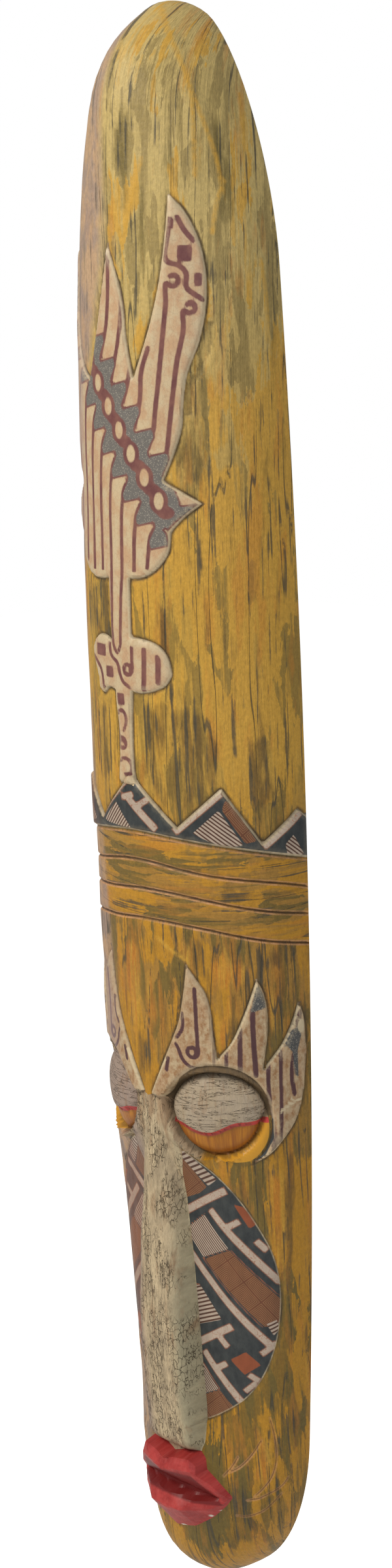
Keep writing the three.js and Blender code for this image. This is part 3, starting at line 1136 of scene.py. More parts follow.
@dataclass(frozen=True)
class PaintTones:
    """Where the ground paint is brighter or darker, and how far the far side is painted pinker as a painted
    reflection.
    """

    bright: tuple[Run, ...] = (
        ((-1, 104), (20, 94), (20, 110), (9, 154), (0, 132)),
        ((34, 140), (36, 160), (22, 204), (16, 208), (24, 180)),
        ((48, 22), (64, 20), (64, 28), (50, 29)),
        ((92, 156), (100, 150), (110, 200), (104, 226), (98, 190)),
        ((58, 214), (66, 230), (70, 250), (60, 256), (56, 240)),
        (
            (62, 262), (80, 268), (86, 340), (74, 420), (58, 400), (48, 350), (50, 312), (44, 300), (56, 290),
        ),
        ((36, 302), (48, 306), (46, 344), (38, 330)),
        ((8, 330), (26, 328), (24, 352), (18, 366), (8, 360)),
        ((84, 230), (112, 220), (114, 420), (100, 470), (88, 400)),
        ((-34, 520), (14, 521), (20, 534), (-34, 536)),
        ((20, 486), (60, 496), (84, 504), (60, 508), (20, 499)),
        ((-10, 545), (24, 545), (26, 556), (8, 566), (-8, 560)),
        ((88, 700), (108, 690), (108, 820), (98, 880), (86, 850), (90, 780)),
        ((66, 850), (72, 858), (76, 885), (70, 890), (64, 870)),
        ((8, 968), (40, 962), (60, 965), (40, 980), (14, 984)),
        ((46, 692), (70, 694), (80, 704), (84, 720), (72, 722), (58, 706)),
    )
    flames: tuple[Run, ...] = (
        ((60, 582), (64, 585), (60, 598), (54, 612), (50.5, 616), (52, 600)),
        ((49, 563), (62, 556), (74, 570), (70, 574), (56, 574)),
        ((85, 586), (90, 587), (88.5, 598), (85, 604)),
        ((28, 548), (38, 553), (40, 570), (34, 562)),
        ((-4, 552), (-2, 590), (-8, 612), (-14, 580), (-10, 552)),
        ((6, 575), (10, 600), (4, 622), (2, 600)),
        ((80, 700), (88, 704), (86, 780), (82, 760)),
        ((100, 842), (108, 800), (106, 900), (98, 930)),
        ((62, 878), (68, 882), (68, 900), (60, 915), (57, 912), (63, 896)),
    )
    dark: tuple[Run, ...] = (
        ((4, 68), (14, 66), (14, 96), (3, 98)),
        ((20, 108), (24, 100), (27, 150), (24, 166), (19, 160)),
        ((60, 60), (68, 70), (74, 100), (76, 126), (68, 126), (64, 90)),
        ((46, 206), (60, 202), (60, 250), (54, 276), (42, 262), (48, 236)),
        ((46, 300), (52, 300), (54, 322), (46, 322)),
        ((26, 344), (31, 346), (31, 376), (40, 400), (30, 396)),
        ((14, 404), (40, 402), (58, 430), (56, 450), (34, 470), (12, 446)),
        ((74, 426), (88, 430), (90, 466), (76, 462)),
        ((-40, 332), (-14, 332), (-14, 362), (-40, 362)),
        ((-30, 404), (-14, 402), (-14, 444), (-34, 450)),
        ((58, 513), (74, 514), (74, 530), (60, 528)),
        ((63.5, 577), (68, 577), (66.5, 596), (55, 616), (56, 606)),
        ((95, 577), (98, 584), (92, 604), (84, 618), (88, 600)),
        ((-9, 606), (-2, 618), (6, 600), (8, 626), (3, 648), (-3, 648), (-8, 628)),
        ((39, 552), (45.5, 552), (44.5, 573), (40, 572)),
        ((78, 560), (100, 556), (112, 563), (100, 569), (80, 568)),
        ((49, 549), (60, 553), (56, 560), (50, 564)),
        ((90, 690), (98, 688), (96, 740), (90, 760), (91, 720)),
        ((46, 906), (52, 908), (54, 950), (44, 946)),
        ((30, 960), (38, 950), (46, 956), (36, 966)),
        ((80, 872), (88, 868), (90, 884), (84, 890)),
    )
    cracked: tuple[Run, ...] = (
        ((4, 40), (40, 40), (40, 125), (4, 125)),
        ((20, 395), (110, 395), (112, 480), (20, 480)),
        ((30, 285), (100, 285), (100, 400), (30, 400)),
        ((40, 545), (110, 545), (110, 590), (40, 590)),
    )

    @staticmethod
    def field(runs: tuple[Run, ...], places: Places) -> Array:
        """A soft field with wandering edges.

        Args:
            runs: the outlines of its patches.
            places: where it is wanted.

        Returns:
            A value for each place, 1 inside the patches and 0 away from them.
        """
        across = 2.2 * rolling(places, (6, 16), 31) + 0.9 * rolling(places, (2.2, 7), 32)
        down = 7.0 * rolling(places, (3.2, 24), 33)
        cover = cover_of([Patch(run) for run in runs], places.shifted(across, down))
        return ease(cover, -4.0, 3.0)

    @staticmethod
    def far_sheen(places: Places) -> Array:
        """How pinkish the paint is on the far side, a painted reflection of the pale surroundings in its
        sheen.
        """
        drops, arcs = (0, 150, 230, 400, 560, 1000), (-4, -8, -36, -52, -30, -24)
        line = np.interp(places.drop, drops, arcs) + 6.0 * rolling(places, (9, 34), 37)
        hidden = ease(-places.arc, 56.0, 70.0) * ease(rolling(places, (14, 60), 38), 0.05, 0.35)
        return (1 - ease(places.arc - line, -10.0, 6.0)) * (1 - 0.8 * hidden)


@dataclass
class FrontGrid:
    """The front's rows and columns, whose points are moved on to the carved outlines."""

    front: RoundFront
    row_bands: tuple[tuple[float, float, float], ...] = (
        (60, 110, 3.8),
        (110, 440, 2.05),
        (440, 560, 1.85),
        (560, 955, 1.6),
    )
    column_bands: tuple[tuple[float, float, float], ...] = (
        (0, 10, 1.6),
        (10, 25, 1.05),
        (25, 86, 1.4),
        (86, 116, 2.6),
    )
    end_rows: int = 13
    sweep: float = 8.0
    halvings: int = 9
    on_path: float = 0.2
    places: Places = field(init=False)
    locked: Array = field(init=False)
    on_outline: list[Array] = field(init=False, default_factory=list)

    def __post_init__(self) -> None:
        """Lays out the rows and the columns."""
        height = self.front.body.height
        near = self.row_bands[0][0] * (np.arange(1, self.end_rows) / self.end_rows) ** 2
        far = height - self.row_bands[-1][1]
        last = height - far * (np.arange(self.end_rows, 0, -1) / self.end_rows) ** 2
        rows = np.concatenate([near, *[self.band(*b) for b in self.row_bands], last])
        columns = [self.band(*b) for b in self.column_bands]
        half = np.concatenate([*columns, [self.column_bands[-1][1]]])
        share = half / half[-1]
        share = np.concatenate([-share[:0:-1], share])
        quarter = self.front.quarter(rows)
        drop = np.repeat(rows[:, None], len(share), axis=1)
        self.places = Places(quarter[:, None] * share[None, :], drop)
        self.locked = np.zeros(drop.shape, bool)
        self.locked[:, [0, -1]] = True

    @staticmethod
    def band(start: float, end: float, step: float) -> Array:
        """Evenly spaced values from start up to but not including end."""
        return np.linspace(start, end, round((end - start) / step), endpoint=False)

    def snap(self, polygon: Array, path: Array | None = None) -> None:
        """Moves the points nearest to an outline on to it, so that edges follow it.

        Args:
            polygon: the outline.
            path: the stretch of it that counts, or nothing for all of it.
        """
        inside = self.places.within(polygon)
        on = np.zeros(inside.shape, bool)
        for along in (1, 0):
            self.snap_along(polygon, inside, on, along, path)
        self.locked |= on
        self.on_outline.append(on)

    def snap_cut(self, points: Run) -> None:
        """Moves the points nearest to a cut on to it."""
        path = curve_through(points)
        aside = np.array([math.copysign(self.sweep, path[:, 0].mean()), self.sweep])
        self.snap(np.vstack([path, path[::-1] + aside]), path)

    def snap_along(
        self, polygon: Array, inside: Array, on: Array, along: int, path: Array | None
    ) -> None:
        """Moves points on to an outline along the rows or along the columns.

        Args:
            polygon: the outline.
            inside: which points are inside it.
            on: which points lie on it, changed here.
            along: 1 to move along the rows, 0 along the columns.
            path: the stretch of the outline that counts, or nothing for all of it.
        """
        arc, drop = self.places.arc, self.places.drop
        whole, before, after = slice(None), slice(None, -1), slice(1, None)
        first, second = ((whole, before), (whole, after)) if along else ((before, whole), (after, whole))
        i, j = np.nonzero((inside[first] != inside[second]) & ~on[first] & ~on[second])
        if not len(i):
            return
        a = (i, j)
        b = (i, j + 1) if along else (i + 1, j)
        low, high = np.zeros(len(i)), np.ones(len(i))
        begins = inside[a]
        for _ in range(self.halvings):
            middle = (low + high) / 2
            tried = Places(
                arc[a] + middle * (arc[b] - arc[a]),
                drop[a] + middle * (drop[b] - drop[a]),
            )
            same = tried.within(polygon) == begins
            low, high = np.where(same, middle, low), np.where(same, high, middle)
        k = (low + high) / 2
        at = np.stack([arc[a] + k * (arc[b] - arc[a]), drop[a] + k * (drop[b] - drop[a])])
        take_second = (k > 0.5) & ~self.locked[b] | self.locked[a] & ~self.locked[b]
        usable = ~(self.locked[a] & self.locked[b])
        if path is not None:
            usable &= Places(at[0], at[1]).gap(path)[0] < self.on_path
        rows = np.where(take_second, b[0], a[0])[usable]
        columns = np.where(take_second, b[1], a[1])[usable]
        moved = np.where(take_second, 1 - k, k)[usable]
        order = np.argsort(-moved)
        rows, columns, at = rows[order], columns[order], at[:, usable][:, order]
        arc[rows, columns], drop[rows, columns] = at
        on[rows, columns] = True

    def split(self) -> Array:
        """Which way each cell is divided.

        Returns:
            For each cell 0 if it stays whole, 1 if its first diagonal is an edge and 2 if the
            other one is.
        """
        way = np.zeros((self.locked.shape[0] - 1, self.locked.shape[1] - 1), int)
        for on in self.on_outline:
            a, b, c, d = on[:-1, :-1], on[:-1, 1:], on[1:, 1:], on[1:, :-1]
            way = np.where(a & c & ~b & ~d, 1, way)
            way = np.where(b & d & ~a & ~c, 2, way)
        return way


@dataclass
class BackGrid:
    """The flat back with its gouged hollow."""

    body: HalfLog
    start: float = 112.0
    end: float = 922.0
    rim: float = 17.0
    wall: float = 25.0
    rim_columns: int = 4
    hollow_columns: int = 20
    least: float = 0.4
    gouge: float = 0.9
    plane: float = 0.12

    def points(self, rows: Array) -> Array:
        """Points of the back for each row, without the two edge columns.

        Args:
            rows: the drops of the rows.

        Returns:
            An array of rows by columns by x, y and z, from -X to +X.
        """
        width, depth = self.body.half_width(rows), self.body.depth(rows)
        middle, half = (self.start + self.end) / 2, (self.end - self.start) / 2
        fade = np.sqrt(np.clip(1 - np.clip((rows - middle) / half, -1, 1) ** 6, 0, 1))
        mouth = np.maximum((width - self.rim) * fade, self.least * width)
        deep = np.maximum(depth - self.wall, 0) * fade
        turn = np.linspace(-math.pi / 2, math.pi / 2, self.hollow_columns + 1)
        edge = np.linspace(0, 1, self.rim_columns, endpoint=False)[1:]
        outer = width[:, None] + (mouth - width)[:, None] * edge
        inner = mouth[:, None] * np.sin(turn)
        x = np.hstack([-outer, inner, outer[:, ::-1]])
        hollow = -deep[:, None] * np.cos(turn)
        y = np.hstack([np.zeros_like(outer), hollow, np.zeros_like(outer)])
        marks = Places(x, np.repeat(rows[:, None], x.shape[1], axis=1))
        gouged = (deep[:, None] > 1) & (np.abs(x) < mouth[:, None] * 0.97)
        gouges, planed = rolling(marks, (9, 26), 21), rolling(marks, (4, 40), 22)
        y += np.where(gouged, self.gouge * gouges, self.plane * planed)
        y = np.minimum(y, 0.0) + self.body.back_line(rows)[:, None]
        z = np.repeat(self.body.up(rows)[:, None], x.shape[1], axis=1)
        return np.stack([x, y, z], axis=-1)


class Value:
    """A number in a node tree, with the usual signs to reckon with it."""

    def __init__(self, graph: "Graph", socket: Socket) -> None:
        """Takes the socket that the number comes from."""
        self.graph = graph
        self.socket = socket

    def __add__(self, other: object) -> "Value":
        """Adds."""
        return self.graph.math("ADD", self, other)

    def __sub__(self, other: object) -> "Value":
        """Takes away."""
        return self.graph.math("SUBTRACT", self, other)

    def __rsub__(self, other: object) -> "Value":
        """Takes this away from something else."""
        return self.graph.math("SUBTRACT", other, self)

    def __mul__(self, other: object) -> "Value":
        """Multiplies."""
        return self.graph.math("MULTIPLY", self, other)

    def __truediv__(self, other: object) -> "Value":
        """Divides."""
        return self.graph.math("DIVIDE", self, other)

    def __abs__(self) -> "Value":
        """Leaves out the sign."""
        return self.graph.math("ABSOLUTE", self)

    def span(self, low: float, high: float, start: float = 0.0, end: float = 1.0) -> "Value":
        """Stretches low to high over start to end, and cuts off the rest."""
        made = self.graph.node("MapRange", {0: self, 1: low, 2: high, 3: start, 4: end}, clamp=True)
        return Value(self.graph, made.outputs[0])

    def inside(self, soft: float = 0.22) -> "Value":
        """1 where a distance is positive, with a short soft edge."""
        return self.span(-soft, soft)


class Graph:
    """A node tree, with short ways to add the nodes that paint needs."""

    def __init__(self, tree: bpy.types.NodeTree, place: object = None) -> None:
        """Takes the tree to build in, and where its noise is taken."""
        self.tree = tree
        self.place = place

    def node(self, kind: str, inputs: dict | None = None, **settings: object) -> bpy.types.Node:
        """Adds a node.

        Args:
            kind: its type, without the ShaderNode in front.
            inputs: values or sockets for its inputs, by name or number.
            settings: its other properties.

        Returns:
            The node.
        """
        made = self.tree.nodes.new("ShaderNode" + kind)
        for name, value in settings.items():
            setattr(made, name, value)
        for name, value in (inputs or {}).items():
            self.feed(made.inputs[name], value)
        return made

    def feed(self, socket: Socket, value: object) -> None:
        """Links a socket to another, or sets its value or its colour code."""
        value = value.socket if isinstance(value, Value) else value
        if isinstance(value, Socket):
            self.tree.links.new(value, socket)
        else:
            socket.default_value = paint(value) if isinstance(value, str) else value

    def math(self, operation: str, a: object, b: object = 0.0) -> Value:
        """Reckons with two numbers."""
        return Value(self, self.node("Math", {0: a, 1: b}, operation=operation).outputs[0])

    def mix(self, factor: object, a: object, b: object, how: str = "MIX") -> Socket:
        """Mixes two colours.

        Args:
            factor: how much there is of the second.
            a: the first colour.
            b: the second colour.
            how: the way that they are mixed.

        Returns:
            The socket of the mixed colour.
        """
        made = self.node("Mix", {0: factor}, data_type="RGBA", blend_type=how, clamp_factor=True)
        self.feed(made.inputs[6], a)
        self.feed(made.inputs[7], b)
        return made.outputs[2]

    def scaled(self, vector: object, by: Point3, at: float = 0.0) -> Socket:
        """A vector stretched along its axes and moved."""
        inputs = {0: vector, 1: by, 2: (at, at * 0.7, at * 1.3)}
        return self.node("VectorMath", inputs, operation="MULTIPLY_ADD").outputs[0]

    def flat(self, x: object, y: object) -> Socket:
        """A vector without a third number."""
        return self.node("CombineXYZ", {0: x, 1: y, 2: 0.0}).outputs[0]

    def moved(self, vector: object, by: object) -> Socket:
        """A vector moved by another."""
        return self.node("VectorMath", {0: vector, 1: by}, operation="ADD").outputs[0]

    def noise(
        self,
        size: Point,
        seed: float,
        detail: float = 3.0,
        rough: float = 0.6,
        bend: float = 0.0,
        at: object = None,
    ) -> Value:
        """Cloudy noise around 0.5.

        Args:
            size: how many lumps there are to a millimetre, across and down.
            seed: where in the noise it is taken.
            detail: how many layers of finer noise it has.
            rough: how strong they are.
            bend: how far it is bent.
            at: the place it is taken at, the graph's own if nothing is given.

        Returns:
            The noise.
        """
        vector = self.scaled(at or self.place, (*size, 0.0), seed)
        inputs = {"Vector": vector, "Scale": 1.0, "Detail": detail, "Roughness": rough}
        inputs["Distortion"] = bend
        return Value(self, self.node("TexNoise", inputs).outputs["Fac"])

    def cells(self, vector: object, kind: str = "F1", output: str = "Distance") -> Value:
        """Cells about 1 across: the distance from their middle or edge, or their colour."""
        made = self.node("TexVoronoi", {"Vector": vector, "Scale": 1.0}, feature=kind)
        return Value(self, made.outputs[output])

    def attribute(self, name: str) -> Socket:
        """A vector that is stored on the mesh."""
        return self.node("Attribute", attribute_name=name, attribute_type="GEOMETRY").outputs["Vector"]

    def parts(self, vector: object) -> list[Value]:
        """The three numbers of a vector, or of the stored one with that name."""
        vector = self.attribute(vector) if isinstance(vector, str) else vector
        return [Value(self, out) for out in self.node("SeparateXYZ", {0: vector}).outputs]

    def use(self, group: bpy.types.NodeTree, **inputs: object) -> list[Value]:
        """Places a node group, with its inputs by name, and gives what it puts out."""
        made = self.node("Group", node_tree=group)
        for name, value in inputs.items():
            self.feed(made.inputs[name], value)
        return [Value(self, out) for out in made.outputs]


def paint(code: str) -> tuple[float, float, float, float]:
    """The colour of a hexadecimal code, as the shaders take it."""
    channels = [int(code[i : i + 2], 16) / 255 for i in (0, 2, 4)]
    linear = [c / 12.92 if c <= 0.04045 else ((c + 0.055) / 1.055) ** 2.4 for c in channels]
    return (linear[0], linear[1], linear[2], 1.0)


class Effects:
    """The effects that several of the paints share, each a node group built once."""

    sockets = {"f": "NodeSocketFloat", "c": "NodeSocketColor", "v": "NodeSocketVector"}

    def __init__(self) -> None:
        """Builds the groups."""
        self.grain = self.build_grain()
        self.cracks = self.build_cracks()
        self.wear = self.build_wear()
        self.line = self.build_line()

    def group(
        self, name: str, inputs: dict[str, str], outputs: dict[str, str]
    ) -> tuple[Graph, dict, dict]:
        """Starts a shader node group.

        Args:
            name: the group's name.
            inputs: the kind of each input by name, f for a number, c a colour and v a vector.
            outputs: the kind of each output in the same way.

        Returns:
            The graph inside it, its input values and the sockets of its outputs, by name.
        """
        tree = bpy.data.node_groups.new(name, "ShaderNodeTree")
        for way, labels in (("INPUT", inputs), ("OUTPUT", outputs)):
            for label, kind in labels.items():
                tree.interface.new_socket(label, in_out=way, socket_type=self.sockets[kind])
        graph = Graph(tree)
        came, goes = tree.nodes.new("NodeGroupInput"), tree.nodes.new("NodeGroupOutput")
        given = {label: Value(graph, came.outputs[label]) for label in inputs}
        return graph, given, {label: goes.inputs[label] for label in outputs}

    def build_grain(self) -> bpy.types.NodeTree:
        """Long streaks of wood grain and brush hair: Streak and Fine, and their Height."""
        graph, given, put = self.group(
            "Wood grain", {"Place": "v", "Offset": "f"}, {"Streak": "f", "Fine": "f", "Height": "f"}
        )
        graph.place = graph.moved(given["Place"], given["Offset"])
        streak = graph.noise((0.30, 0.016), 0.0, 4.0, 0.62, 0.5)
        fine = graph.noise((1.1, 0.07), 5.0, 3.0, 0.6, 0.3)
        graph.feed(put["Streak"], streak)
        graph.feed(put["Fine"], fine)
        graph.feed(put["Height"], streak * 0.6 + fine * 0.4)
        return graph.tree

    def build_cracks(self) -> bpy.types.NodeTree:
        """Cracks of dried paint: Crack is 1 in a crack."""
        graph, given, put = self.group(
            "Dry cracks", {"Place": "v", "Width": "f", "Wander": "f"}, {"Crack": "f"}
        )
        wander = graph.node("TexNoise", {"Vector": given["Place"], "Scale": 1.7, "Detail": 3.0})
        wander = graph.moved(wander.outputs["Color"], (-0.5, -0.5, -0.5))
        bent = {0: wander, "Scale": given["Wander"]}
        bent = graph.node("VectorMath", bent, operation="SCALE").outputs[0]
        edge = graph.cells(graph.moved(bent, given["Place"]), "DISTANCE_TO_EDGE")
        graph.feed(put["Crack"], (1.0 - edge / given["Width"]).span(0.0, 1.0))
        return graph.tree

    def build_wear(self) -> bpy.types.NodeTree:
        """Painted shade and soiling in the hollows, and worn edges, over a colour, with a matching Roughness.
        """
        names = {
            "Colour": "c", "Place": "v", "Hollow": "f", "Grime": "c", "Rubbed": "c",
            "Dirt": "f", "Rub": "f", "Gloss": "f",
        }
        graph, given, put = self.group("Grime and wear", names, {"Colour": "c", "Roughness": "f"})
        graph.place = given["Place"]
        speckle = graph.noise((0.55, 0.4), 3.0, 4.0, 0.65) - 0.5
        # Painted shade: the dark colour is laid on the points that sit below their surroundings, along with
        # soiling.
        shade_and_dirt = (speckle - given["Hollow"]).span(0.12, 0.85) * given["Dirt"]
        rub = (speckle + given["Hollow"]).span(0.25, 0.8) * given["Rub"]
        colour = graph.mix(shade_and_dirt, given["Colour"], given["Grime"])
        graph.feed(put["Colour"], graph.mix(rub, colour, given["Rubbed"]))
        rough = given["Gloss"] + shade_and_dirt * 0.2 + speckle * 0.3
        graph.feed(put["Roughness"], rough.span(0.2, 1.0, 0.2, 1.0))
        return graph.tree

    def build_line(self) -> bpy.types.NodeTree:
        """A painted line: Mask is 1 between two distances."""
        graph, given, put = self.group(
            "Painted line", {"Distance": "f", "From": "f", "To": "f", "Soft": "f"}, {"Mask": "f"}
        )
        up = (given["Distance"] - given["From"]) / given["Soft"]
        down = (given["To"] - given["Distance"]) / given["Soft"]
        graph.feed(put["Mask"], (graph.math("MINIMUM", up, down) + 0.5).span(0.0, 1.0))
        return graph.tree


class Coats(Graph):
    """A material's nodes, with the colour that the coats laid so far give."""

    def __init__(self, tree: bpy.types.NodeTree, effects: Effects) -> None:
        """Takes the material's tree and the shared effects, and reads the place."""
        super().__init__(tree)
        self.effects = effects
        self.place = self.attribute("place")
        self.arc, self.drop, self.standing = self.parts(self.place)
        self.colour: object = None

    def lay(self, mask: object, colour: object) -> None:
        """Lays a coat where a mask is 1."""
        self.colour = self.mix(mask, self.colour, colour)

    def tint(self, shade: Value) -> None:
        """Makes the colour darker or lighter."""
        grey = self.node("CombineColor", {0: shade, 1: shade, 2: shade}).outputs[0]
        self.colour = self.mix(1.0, self.colour, grey, "MULTIPLY")

    def line(self, distance: object, start: object, end: object, soft: float) -> Value:
        """1 between two distances, with soft edges."""
        return self.use(self.effects.line, Distance=distance, From=start, To=end, Soft=soft)[0]

    def grain(self, offset: float, at: object = None) -> list[Value]:
        """The streaks, the fine streaks and the height of wood grain and brush hair."""
        return self.use(self.effects.grain, Place=at or self.place, Offset=offset)

    def cracks(self, at: object, width: float, wander: float) -> Value:
        """1 in the cracks of dried paint."""
        return self.use(self.effects.cracks, Place=at, Width=width, Wander=wander)[0]


@dataclass(frozen=True)
class Finish:
    """What every finish of the mask has: its name, its gloss, its bump, its soiling and painted shade in the
    hollows, and its wear.
    """

    name: str
    gloss: float = 0.5
    sheen: float = 0.32
    bump: float = 0.5
    # The colour of the hollows, painted shade with soiling; some paints also lay it as a painted shadow
    # outside their outlines.
    grime_and_shade: str = "4A3C28"
    # The colour of worn edges, also laid by the batik and woven paints as painted highlight along their rims.
    rubbed_and_highlight: str = "CF9A2B"
    shade_and_dirt: float = 0.5
    rub: float = 0.3

    def material(self, effects: Effects) -> bpy.types.Material:
        """Builds the material.

        Args:
            effects: the shared node groups.

        Returns:
            The material, with its colour worn, painted shade and soiling in its hollows, and its height as a
            bump.
        """
        material = bpy.data.materials.new(self.name)
        material.use_nodes = True
        material.node_tree.nodes.clear()
        on = Coats(material.node_tree, effects)
        shader = on.node("BsdfPrincipled")
        on.feed(on.node("OutputMaterial").inputs["Surface"], shader.outputs[0])
        height = self.coats(on)
        on.colour, rough = on.use(
            effects.wear, Colour=on.colour, Place=on.place, Hollow=on.standing, Grime=self.grime_and_shade,
            Rubbed=self.rubbed_and_highlight, Dirt=self.shade_and_dirt, Rub=self.rub, Gloss=self.gloss,
        )
        self.over(on)
        bump = on.node("Bump", {"Height": height, "Strength": self.bump, "Distance": MM}).outputs[0]
        shader.inputs["Specular IOR Level"].default_value = self.sheen
        for name, value in (("Base Color", on.colour), ("Roughness", rough), ("Normal", bump)):
            on.feed(shader.inputs[name], value)
        return material

    def coats(self, on: Coats) -> Value:
        """Lays the coats of paint.

        Args:
            on: the material's nodes, where the colour is left.

        Returns:
            The height.
        """
        raise NotImplementedError

    def over(self, on: Coats) -> None:
        """Lays what lies over the wear, which is nothing on most finishes."""


@dataclass(frozen=True)
class GroundPaint(Finish):
    """The streaky ochre ground, brushed down the grain over dark wood."""

    name: str = "ochre_ground"
    gloss: float = 0.46
    bump: float = 0.8
    shade_and_dirt: float = 0.6
    rub: float = 0.4
    khaki: str = "C4AC6C"
    ochre: str = "C09840"
    bright: str = "CC9D3C"
    olive: str = "96824E"
    bronze: str = "8F7536"
    forehead: str = "A67C34"
    lower: str = "836626"
    gold: str = "BF8A22"
    moss: str = "6A5C2C"
    umber: str = "594629"
    slate: str = "4A4639"
    orange: str = "C27C2A"
    # The pinkish and mauve colours are a painted reflection on the far side.
    far_sheen: str = "C3A182"
    mauve: str = "A48E84"
    # The peach is the painted highlight along the cuts, and also the pale line at the crown's foot.
    peach: str = "CC9868"
    # The dark brown painted as shade down the cuts.
    line: str = "5C3521"
    # The brown-grey painted as shade on the eye socket's upper wall.
    socket: str = "6A5840"
    skin: str = "A4957C"
    smooth: float = 0.12
    band_from: float = 484.0
    band_to: float = 536.0
    foot_from: float = 478.0
    foot_level: float = 481.0

    def tones(self, on: Coats, brushed: object, streak: Value) -> None:
        """Lays the patches of different ochres that the brush left.

        Args:
            on: the material's nodes.
            brushed: the place, along the brush.
            streak: the streaks of the brush.
        """
        bright = on.parts("tones")[0]
        bend = on.noise((0.16, 0.05), 2.0, 4.0, 0.66, at=brushed)
        tone = []
        for size, seed in (((0.075, 0.021, 0.0), 3.0), ((0.19, 0.040, 0.0), 8.0)):
            moved = on.moved(on.scaled(brushed, size, seed), on.flat(bend * 0.9, bend * 1.6))
            patch = on.cells(moved, "SMOOTH_F1", "Color")
            patch.socket.node.inputs["Smoothness"].default_value = self.smooth
            tone.append(Value(on, on.node("SeparateColor", {0: patch}).outputs[0]))
        warm, brows = on.drop.span(150.0, 330.0), on.drop.span(440.0, 500.0)
        on.colour = on.mix(brows, on.mix(warm, self.khaki, self.ochre), self.forehead)
        on.lay(on.drop.span(600.0, 860.0), self.lower)
        both = tone[0] * 0.6 + tone[1] * 0.4 + (streak - 0.5) * 0.9
        olive = on.mix(brows, on.mix(warm, self.olive, self.bronze), self.moss)
        on.lay((both - warm * 0.02 + brows * 0.04).span(0.26, 0.42, 0.8, 0.0), olive)
        gold = both + bright * 0.30 + warm * 0.12
        on.lay(gold.span(0.64, 0.80, 0.0, 0.85), on.mix(brows, self.bright, self.gold))
        rust = on.noise((0.10, 0.016), 9.0, 4.0, 0.62, at=brushed)
        on.lay((rust + warm * 0.03).span(0.58, 0.68, 0.0, 0.4), self.orange)

    def coats(self, on: Coats) -> Value:
        """Lays the ground, its streaks, its cracks and its lines, with painted shade and highlight along the
        cuts, a painted shadow next to the patterned areas, painted shade in the eye sockets and a painted
        reflection on the far side.
        """
        border = BorderLine()
        level = on.drop - on.math("POWER", abs(on.arc) / border.arc, border.power) * border.sink
        band = on.math("GREATER_THAN", level, self.band_from)
        band = band * on.math("LESS_THAN", level, self.band_to)
        ways = {0: band, 4: on.place, 5: on.flat(on.drop, on.arc)}
        brushed = on.node("Mix", ways, data_type="VECTOR").outputs[1]
        streak, fine, height = on.grain(0.0, brushed)
        self.tones(on, brushed, streak)
        ridge, flame, far_sheen = on.parts("marks")
        below, rim, cracked = on.parts("eyes")
        edge, cut, _ = on.parts("lines")
        dark = on.parts("tones")[1]
        mottle = on.noise((0.45, 0.32), 7.0, 4.0, 0.7)
        cloud = on.noise((0.09, 0.05), 5.0, 4.0, 0.62)
        on.lay(flame * 0.75, on.mix(streak.span(0.42, 0.58), self.orange, self.bright))
        # Painted reflection: pinkish and mauve colours on the side turned away.
        on.lay(far_sheen * 0.85, on.mix(cloud.span(0.42, 0.58), self.far_sheen, self.mauve))
        shade = on.noise((0.17, 0.018), 14.0, 5.0, 0.62, 0.2, at=brushed) + dark * 0.16
        umber = on.mix(on.drop.span(200.0, 330.0), self.moss, self.umber)
        on.lay(shade.span(0.57, 0.74, 0.0, 0.7), umber)
        dash = on.noise((0.42, 0.016), 21.0, 3.0, 0.5, 0.1, at=brushed)
        dash = dash + (cloud - 0.5) * 0.3 + dark * 0.06
        on.lay(dash.span(0.62, 0.69, 0.0, 0.8), self.slate)
        rift = abs(on.noise((0.060, 0.0032), 33.0, 2.0, 0.42, at=brushed) - 0.5)
        opened = rift.span(0.0022, 0.0068, 1.0, 0.0) * (cloud + cracked * 0.14).span(0.42, 0.50)
        on.lay(opened * 0.8, self.slate)
        on.tint(mottle.span(0.28, 0.72, 0.80, 1.12) * fine.span(0.25, 0.75, 0.92, 1.05))
        # Painted shade on the socket's wall above the upper lid.
        on.lay(rim.span(0.28, 0.36, 0.95, 0.0) * below.span(-0.5, 0.5, 1.0, 0.0), self.socket)
        skin = rim.span(0.16, 0.24, 0.9, 0.0) * below.span(-0.5, 0.5)
        on.lay(skin * abs(on.arc).span(33.0, 38.0, 1.0, 0.0), self.skin)
        rubbed_and_highlight = on.line(ridge, -1.0, 1.2, 1.8)
        on.lay(rubbed_and_highlight * mottle.span(0.35, 0.6, 0.3, 0.85), self.bright)
        patchy = cloud.span(0.40, 0.56, 0.35, 0.9)
        chin = on.drop.span(700.0, 710.0)
        # Painted highlight: peach along the edges of the cuts, weaker on the chin.
        pale = on.line(cut, 0.6 - chin, 1.6 - chin * 0.5, 0.6)
        on.lay(pale * patchy * (1.0 - chin * 0.4), self.peach)
        # Painted shade: dark brown down the middle of each cut, thinner on the chin.
        cut_shade = on.line(cut, -1.0, 0.55 - chin * 0.45, 0.5)
        on.lay(cut_shade * cloud.span(0.4, 0.6, 0.6, 0.9), self.line)
        above = on.drop.span(BROWS_FROM, BROWS_FROM + 2, 1.0, 0.0)
        foot = on.drop.span(self.foot_from, self.foot_from + 2) * above
        foot = foot * level.span(self.foot_level, self.foot_level + 1)
        # Painted shadow: a dark, patchy line on the ground just outside the patterned areas, left out at the
        # crown's foot.
        outline_shadow = on.line(edge, -1.0, 0.4, 0.7) * cloud.span(0.44, 0.58, 0.0, 0.75)
        on.lay(outline_shadow * (1.0 - foot), self.grime_and_shade)
        on.lay(on.line(edge, -2.0, -0.9, 0.6) * foot * patchy, self.peach)
        return height - opened * 0.5 + mottle * 0.5


